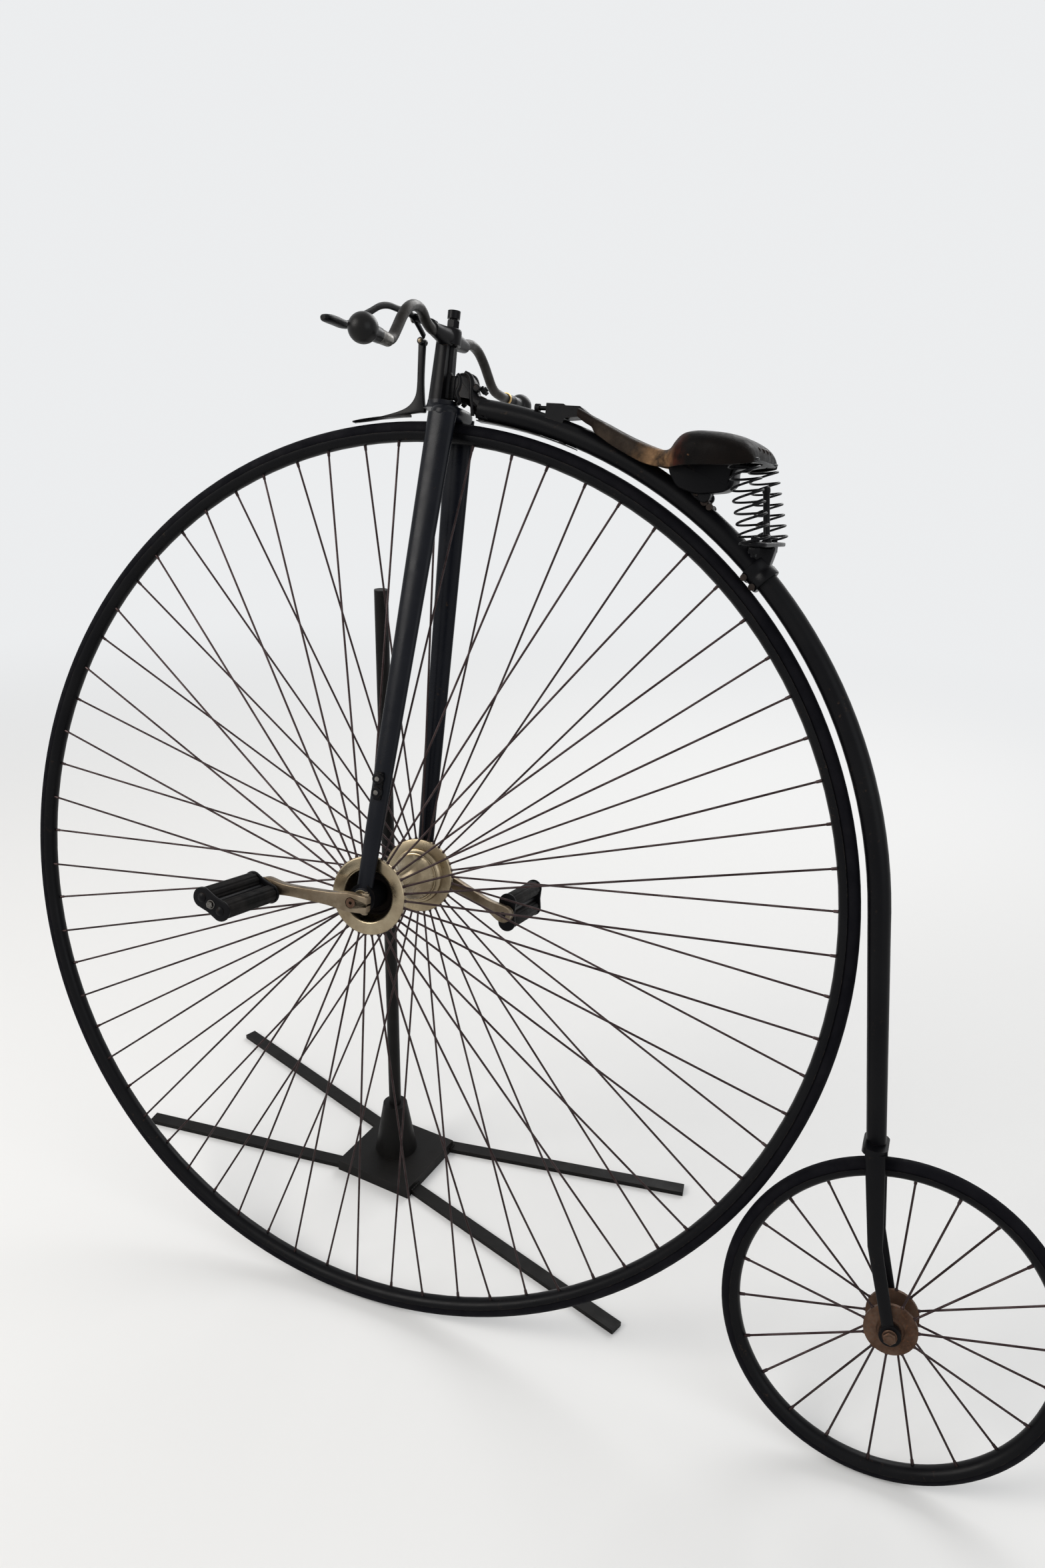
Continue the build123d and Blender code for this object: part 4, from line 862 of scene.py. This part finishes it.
# Neck: a rounded casting with two ribs down its side, its nut, and the boss that the backbone starts from
SLOT_LOW = HEAD_SLOT[0]
NECK_SIDE = (
    (21, 2, 6), (21, 35, 8), (31, 41, 10), (45, 38, 12), (54, 26, 12), (57, 12, 8), (66, 8, 8), (80, 6, 4),
    (78, -22, 4), (58, -19, 6), (51, -2, 6),
)
NECK_RIBS = (
    (((26, 37), (31, 32), (32, 22), (29, 12), (33, 3), (30, -2)), 4.6),
    (((37, 40), (45, 35), (49, 24), (50, 10), (53, -4), (54, -16)), 4.2),
)
NECK_WEB = (
    (46, 1354), (48, 1344), (52, 1337.5), (60, 1331.2), (71, 1326.4), (84, 1329), (88, 1342), (64, 1356),
)


def make_neck():
    shape = Shape()
    side_view = [(p.x, SLOT_LOW + p.y) for p in rounded(NECK_SIDE, 6)]
    shape.slab(side_view, on_xz, -11.5, 11.5, 7.0, 5)
    for side in (-1, 1):
        for line, radius in NECK_RIBS:
            path = smooth_path([(x, side * 8.6, SLOT_LOW + z) for x, z in line], 5)
            swell = [radius * (0.55 + 0.45 * math.sin(math.pi * (k + 1.5) / (len(path) + 2)))
                     for k in range(len(path))]
            shape.tube(path, swell, 14)
    shape.lathe([(5.2, 0), (5.4, 1), (5.4, 74), (5.0, 75.4)], (8, 0, SLOT_LOW + 0.4), (0, 0, 1), 24)
    shape.lathe([(4, 0), (7.0, 2.5), (7.4, 5), (7.4, 34), (6.8, 36), (5.0, 39)],
                (8, 0, SLOT_LOW + 2), (0, 0, 1), 24)
    tongue = rounded([(8, -4.4), (26, -4.4), (26, 4.4), (8, 4.4)], 1)
    shape.slab(tongue, on_xy, SLOT_LOW + 5, SLOT_LOW + 36, 1.0)
    shape.build("neck_casting", "frame", "black_enamel", sharp=math.radians(55), node="neck")
    nut = Shape()
    nut.hexagon((62, 0, SLOT_LOW + 17), (0.75, 0, 0.66), 11.5, 5.5)
    nut.lathe([(3.4, 0), (3.4, 8.4), (2.6, 9.2), (0, 9.4)], (61, 0, SLOT_LOW + 16), (0.75, 0, 0.66), 16)
    nut.lathe([(5, 6), (5, 12.2), (4, 13)], (57, 0, SLOT_LOW + 20), (0, -1, 0), 18)
    nut.build("neck_bolt", "frame", "black_enamel", finish="black_wire")
    strip = Shape()
    middle = smooth_path([(49, 0, 1341.5), (53, 0, 1335.5), (60, 0, 1329.6), (70, 0, 1324.6)], 5)
    rings = []
    for point in middle:
        rings.append([point + Vector((0, y, z)) for y, z in ((-8, 0), (8, 0), (8, 1.6), (-8, 1.6))])
    strip.rings(rings)
    strip.slab(rounded(NECK_WEB, 3, 4), on_xz, -8, 8, 3.0)
    # Matt near-black finish on the tongue; the same material paints shade into the hub's recesses
    strip.build("mudguard_tongue", "frame", "black_enamel", finish="matt_black_and_painted_shade")


# Front hub: one turned shell with rounded lips, (radius, distance from the middle plane) of one half
HUB_HALF = (
    (16, 0), (16.4, 14), (18, 28), (20.5, 36), (25, 43), (30, 49.5), (33.6, 56), (35, 60.5), (35.2, 62),
    (36.4, 62.6), (36.4, 64.6), (35.8, 65.4), (36.6, 68), (38.4, 70.4), (40.5, 71.4), (40.9, 73), (42, 75),
    (54.8, 75), (56.1, 75.6), (56.5, 77), (56.5, 80.6), (56.0, 82), (54.6, 82.8), (53, 83), (41, 83),
    (38.8, 82.7), (37.4, 81.6), (37, 80), (36.2, 76), (33, 66), (30.5, 60), (28.5, 57.6), (26, 57), (7.7, 57),
)


def make_hub():
    shape = Shape()
    other_half = [(r, -along) for r, along in HUB_HALF[1:]]
    shape.lathe([*reversed(other_half), *HUB_HALF], (0, 0, HUB_Z), (0, 1, 0), 96, closed=True)
    shape.build("front_hub_shell", "front_wheel", "worn_nickel", sharp=math.radians(50), node="front_hub")
    # A near-black disc at the bottom of each flange's recess: painted shade, where the recess lies in shadow
    dark = Shape()
    for side in (-1, 1):
        dark.lathe([(8.5, 0), (27.5, 0), (30.4, 4), (31.2, 5.4), (29.5, 5.6), (27, 1.4), (8.5, 1.2)],
                   (0, side * 57.1, HUB_Z), (0, side, 0), 64)
    dark.build("hub_recess_painted_shade", "front_wheel", "black_enamel", finish="matt_black_and_painted_shade")
    ends = Shape()
    for side in (-1, 1):
        ends.lathe([(7.4, -3), (7.4, 1.0), (6.8, 1.6), (2.4, 1.7), (1.6, 0.4), (0, 0.1)],
                   (0, side * 130.5, HUB_Z), (0, side, 0), 28)
    ends.build("front_axle_ends", "front_wheel", "bare_steel", finish="rusty_steel")


# Cranks: forged bars with rounded rims and a split, bolted jaw
CRANK_LENGTH = 137.0
CRANK_FACE = 119.5
CRANK_THICK = 12.5
# name, side, degrees of the crank, degrees of the pedal
PEDALS = (("left", -1, -1.2, 24.0), ("right", 1, 200.0, 86.0))
CRANK_EDGE = (
    (-25, 1.4, 0.5), (-25, 11.6, 4), (-8, 12.6, 5), (6, 13.2, 10), (20, 11.4, 10), (34, 9.4, 12),
    (95, 7.2, 20), (115, 8.6, 12), (127, 11.8, 6), (137, 13.2, 6), (146.5, 9.6, 5),
)
CRANK_EYE = ((-7.0, -1.4, 0.4), (-5.2, -5.2, 1.5), (0, -7.4, 3), (5.2, -5.2, 3))
CRANK_SIDE = mirrored(CRANK_EDGE, (150.2, 0, 5)) + mirrored(CRANK_EYE, (7.4, 0, 3))


def ahead(degrees):
    """Direction in the wheel's plane, degrees above straight forward."""
    a = math.radians(degrees)
    return Vector((-math.cos(a), 0, math.sin(a)))


def plane(start, u_way, v_way, out):
    """Turns (u, v, level) into a place on a plane of its own."""
    return lambda u, v, level: start + u * u_way + v * v_way + level * out


def make_cranks():
    for name, side, turn, _ in PEDALS:
        middle = Vector((0, side * CRANK_FACE, HUB_Z))
        along, across, out = ahead(turn), ahead(turn + 90), Vector((0, side, 0))
        on_crank = plane(middle, along, across, out)
        shape = Shape()
        shape.slab(rounded(CRANK_SIDE, 4, 3), on_crank, 0, CRANK_THICK, 1.1)
        pin = middle + CRANK_LENGTH * along + (CRANK_THICK + 0.8) * out
        shape.lathe([(8.4, 0), (12.4, 0), (13.2, -0.6), (13.2, -2)], pin, out, 32)
        shape.build(name + "_crank_forging", "front_wheel", "bare_steel", node=name + "_crank")
        bolt = Shape()
        start = on_crank(-19.5, 11.4, CRANK_THICK / 2)
        bolt.hexagon(start, across, 9.6, 4.4)
        bolt.lathe([(2.6, -24), (2.6, 6.2), (2.0, 6.8), (0, 6.8)], start, across, 16)
        head = on_crank(-19.5, -11.4, CRANK_THICK / 2)
        bolt.lathe([(4.6, 0), (4.6, 2.2), (3.4, 3.0), (0, 3.2)], head, -across, 20)
        bolt.build(name + "_crank_bolt", "front_wheel", "bare_steel")


# Pedals: two rounded plates, grooved rubber treads and a nut; each pedal turns on its own pin
PEDAL_IN = 132.0
PEDAL_LENGTH = 119.0
PEDAL_TREAD = 32.0
PEDAL_START = 5.0
PEDAL_PLATE = 4.0
LOBE = 14.0
TREAD = 12.6
TREAD_STEPS = 60
TREAD_GROOVES = 10
TREAD_LEVELS = ((9.1, 0.92), (10.7, 1), (118.3, 1), (119.9, 0.92))


def make_pedals():
    for name, side, turn, tilt in PEDALS:
        body = name + "_pedal"
        out = Vector((0, side, 0))
        pin = Vector((0, side * PEDAL_IN, HUB_Z)) + ahead(turn) * CRANK_LENGTH
        on_pedal = plane(pin, ahead(tilt), ahead(tilt + 90), out)
        face = PEDAL_START + PEDAL_LENGTH
        cage = Shape()
        outline = []
        for lobe, first in ((1, -102), (-1, 78)):
            for k in range(19):
                a = math.radians(first + 204 * k / 18)
                outline.append((lobe * PEDAL_TREAD / 2 + LOBE * math.cos(a), LOBE * math.sin(a)))
            outline.append((0, lobe * 12.4))
        for at in (PEDAL_START, face - PEDAL_PLATE):
            cage.slab(outline, on_pedal, at, at + PEDAL_PLATE, 1.3)
        cage.lathe([(4.9, -12.6), (4.9, 1), (8.4, 1.2), (8.5, 2), (8.5, 5), (6, 6.4), (5, 8), (5, 121),
                    (4.9, 126)], pin, out, 28)
        for lobe in (-1, 1):
            end = on_pedal(lobe * PEDAL_TREAD / 2, 0, face)
            cage.lathe([(6.0, -0.5), (6.0, 0.8), (4.6, 1.9), (0, 2.3)], end, out, 20)
        cage.build(name + "_pedal_cage", body, "black_enamel", node=name + "_pedal")
        rubbers = Shape()
        for lobe in (-1, 1):
            rings = []
            for along, size in TREAD_LEVELS:
                ring = []
                for k, a in enumerate(full_turn(TREAD_STEPS)):
                    r = (TREAD - (1.0 if k % (TREAD_STEPS // TREAD_GROOVES) in (0, 1) else 0.0)) * size
                    ring.append(on_pedal(lobe * PEDAL_TREAD / 2 + r * math.cos(a), r * math.sin(a), along))
                rings.append(ring)
            rubbers.rings(rings)
        rubbers.build(name + "_pedal_treads", body, "pedal_rubber", node=name + "_pedal_rubbers")
        ends = Shape()
        ends.lathe([(6.2, 0), (6.2, 0.9), (5.8, 1.3), (4.0, 1.3)], pin + out * face, out, 28)
        ends.hexagon(pin + out * (face + 1.3), out, 8.4, 3.4)
        ends.lathe([(3.4, 0), (3.4, 2.6), (2.8, 3.2), (1.6, 3.2), (1.2, 2.6), (0, 2.4)],
                   pin + out * (face + 2.4), out, 20)
        ends.build(name + "_pedal_nuts", body, "bare_steel", finish="dull_plate")


# Saddle's under-frame: a folded plate, the bracket with its bolt, and the bar over the springs
UNDER_SIDE = (
    (338, 1288, 3), (340, 1272, 6), (352, 1254, 8), (378, 1247, 9), (414, 1252, 8), (425, 1261, 7),
    (424, 1280, 5), (456, 1286, 2), (459, 1290, 2), (400, 1304, 4), (376, 1302, 6), (352, 1298, 5),
)
TILT_LUG = ((362, 1262), (392, 1258), (395, 1246), (386, 1236), (370, 1246))


def make_under_frame():
    shape = Shape()
    shape.slab(rounded(UNDER_SIDE, 5, 4), slipped_xz, -22, 22, 5.0, 4)
    shape.slab(rounded(TILT_LUG, 5, 4), slipped_xz, -12, 9, 3.0)
    shape.slab(long_oval(SPRING_HEAD[0], SPRING_Y, 17, 17.8, 24), slipped_xy, 1288.6, 1292.8, 1.2)
    shape.lathe([(7.4, -17), (8.2, -16), (8.2, -12), (6, -11.4), (5, -11), (5, 13), (7.2, 13.4), (7.2, 17),
                 (5, 18)], slipped((388, 0, 1245)), (0, 1, 0), 18)
    shape.build("saddle_under_frame", "frame", "black_enamel", finish="black_wire", node="saddle_frame")
    knob = Shape()
    for x, z, r in ((389, 1238, 5.0), (396, 1232, 4.2), (378, 1250, 5.6)):
        knob.lathe([(r, -15), (r * 1.1, -14), (r * 1.1, -10), (r * 0.8, -9), (r * 0.8, 9), (r, 10),
                    (r * 0.9, 13)], slipped((x, 0, z)), (0, 1, 0), 14)
    knob.build("saddle_tilt_bolts", "frame", "rusty_steel", finish="black_bolt")


# Clamp of the springs: short split ring round the backbone, plate, nuts, and the rod between the springs
CLAMP_GUSSET = ((-15, 1), (17, 1), (14, -14), (9, -32), (-9, -28))


def make_clamp():
    angle = math.acos(CLAMP_X / BACKBONE_R)
    way = Vector((math.sin(angle), 0, -math.cos(angle)))
    out = Vector((math.cos(angle), 0, math.sin(angle)))
    middle = Vector((CLAMP_X, 0, HUB_Z + BACKBONE_R * math.sin(angle)))
    shape = Shape()
    shape.lathe([(14.4, -14), (18.4, -14), (19.3, -13), (19.3, -4), (18.6, -3), (18.6, 3), (19.3, 4),
                 (19.3, 13), (18.4, 14), (14.4, 14)], middle, way, 40)
    plate = long_oval(CLAMP_X, SPRING_Y, 16, 17.8, 28)
    shape.slab(plate, slipped_xy, SADDLE_PIVOT_Z, SADDLE_PIVOT_Z + 5, 1.4)
    gusset = [(CLAMP_X + x, SADDLE_PIVOT_Z + z) for x, z in CLAMP_GUSSET]
    shape.slab(rounded(gusset, 5, 4), slipped_xz, -13, 13, 4.0, 4)
    for side in (-1, 1):
        foot = slipped((CLAMP_X, side * SPRING_Y, SADDLE_PIVOT_Z))
        down = slipped((0, 0, SADDLE_PIVOT_Z)) - slipped((0, 0, SADDLE_PIVOT_Z + 1))
        shape.hexagon(foot, down, 13, 9)
        shape.lathe([(3.4, 0), (3.4, 12.4), (2.6, 13.2), (0, 13.2)], foot, (0, 0.087, -1), 16)
        head = foot + Vector((0, 0, 5))
        shape.lathe([(5.4, 0), (5.4, 5.4), (4.4, 6.2), (0, 6.6)], head, (0, -0.087, 1), 18)
    shape.build("spring_clamp_forging", "frame", "black_enamel", finish="black_wire", node="spring_clamp")
    rod = Shape()
    foot = slipped((CLAMP_X + 3, 0, SADDLE_PIVOT_Z + 3))
    up = slipped((CLAMP_X - 6, 0, SADDLE_PIVOT_Z + 71)) - foot
    rod.lathe([(6.2, 0), (6.2, 4), (4.6, 5), (4.2, 6), (4.2, 61), (5.0, 62.4), (5.2, 66), (4.6, 69),
               (2.6, 70), (0, 70)], foot, up, 24)
    rod.lathe([(6.6, 5), (6.6, 8), (5.4, 8.6)], foot, up, 6)
    rod.build("saddle_guide_rod", "frame", "black_enamel", finish="black_wire")
    bolts = Shape()
    for level in (-8, 8):
        place = middle + way * level - out * 17
        bolts.lathe([(4.4, -16), (4.4, -13.4), (3, -13), (3, 13), (5.2, 13.4), (5.2, 16.6), (3.6, 17.2)],
                    place, (0, 1, 0), 14)
    bolts.build("spring_clamp_bolts", "frame", "rusty_steel", finish="black_bolt")


# Weld beads where the stand's legs meet its foot plate: (x, y) along each one, in millimetres from the
# point where the big wheel would touch the floor; the stored frame starts at the post instead
POST_PLACE = Vector((-92.0, 307.0, 0))
WELD_HIGH = 8.6
WELDS = (
    ((-151.9, 376.0), (-154.7, 352.4)),
    ((-166.2, 259.8), (-168.8, 236.2)),
    ((-5.8, 350.4), (-4.2, 361.6), (-16.0, 363.2)),
    ((-21.2, 226.4), (-18.2, 250.2)),
)


def make_welds():
    to_upright = UPRIGHT.inverted()
    shape = Shape()
    for line in WELDS:
        corners = [to_upright @ ((Vector((x, y, WELD_HIGH)) - POST_PLACE) / 1000) * 1000 for x, y in line]
        beads = []
        for low, high in zip(corners, corners[1:]):
            beads += [low.lerp(high, k / 12) for k in range(12)]
        beads.append(corners[-1])
        shape.tube(beads, [2.4 + 0.5 * math.sin(2.2 * k) for k in range(len(beads))], 10)
    shape.build("stand_weld_beads", "frame", "stand_paint")


# Rear axle nuts
AXLE_FACE = 36.4


def make_fittings():
    nuts = Shape()
    for side in (-1, 1):
        out = Vector((0, side, 0))
        face = Vector((AXLE_X, 0, REAR_Z)) + AXLE_FACE * out
        nuts.lathe([(9.4, 0), (9.4, 1.2), (8.6, 1.8), (5, 1.8)], face, out, 24)
        nuts.hexagon(face + 1.6 * out, out, 15, 5.4)
    nuts.build("rear_axle_nuts", "frame", "rusty_steel")


make_camera()
make_studio()
dress_nodes()

make_tyre("front_tyre_round", "front_tyre", "front_wheel", 0, HUB_Z, FRONT_R, steps=200)
make_tyre("rear_tyre_round", "rear_tyre", "rear_wheel", AXLE_X, REAR_Z, REAR_R, steps=112)
make_spring("left_spring_wire", "left_saddle_spring", -1)
make_spring("right_spring_wire", "right_saddle_spring", 1)
make_leather()
make_rivets()
make_spoke_ends("front_spoke_ends", "front_wheel", 0, HUB_Z,
                count=70, hub_radius=56.5, rim_radius=632.0, hub_y=79.0)
make_spoke_ends("rear_spoke_ends", "rear_wheel", AXLE_X, REAR_Z,
                count=22, hub_radius=34.0, rim_radius=197.0, hub_y=18.5)
make_pedals()
make_cranks()
make_handlebar()
make_lever()
make_spoon()
make_fork()
make_head()
make_neck()
make_hub()
make_under_frame()
make_clamp()
make_fittings()
make_welds()
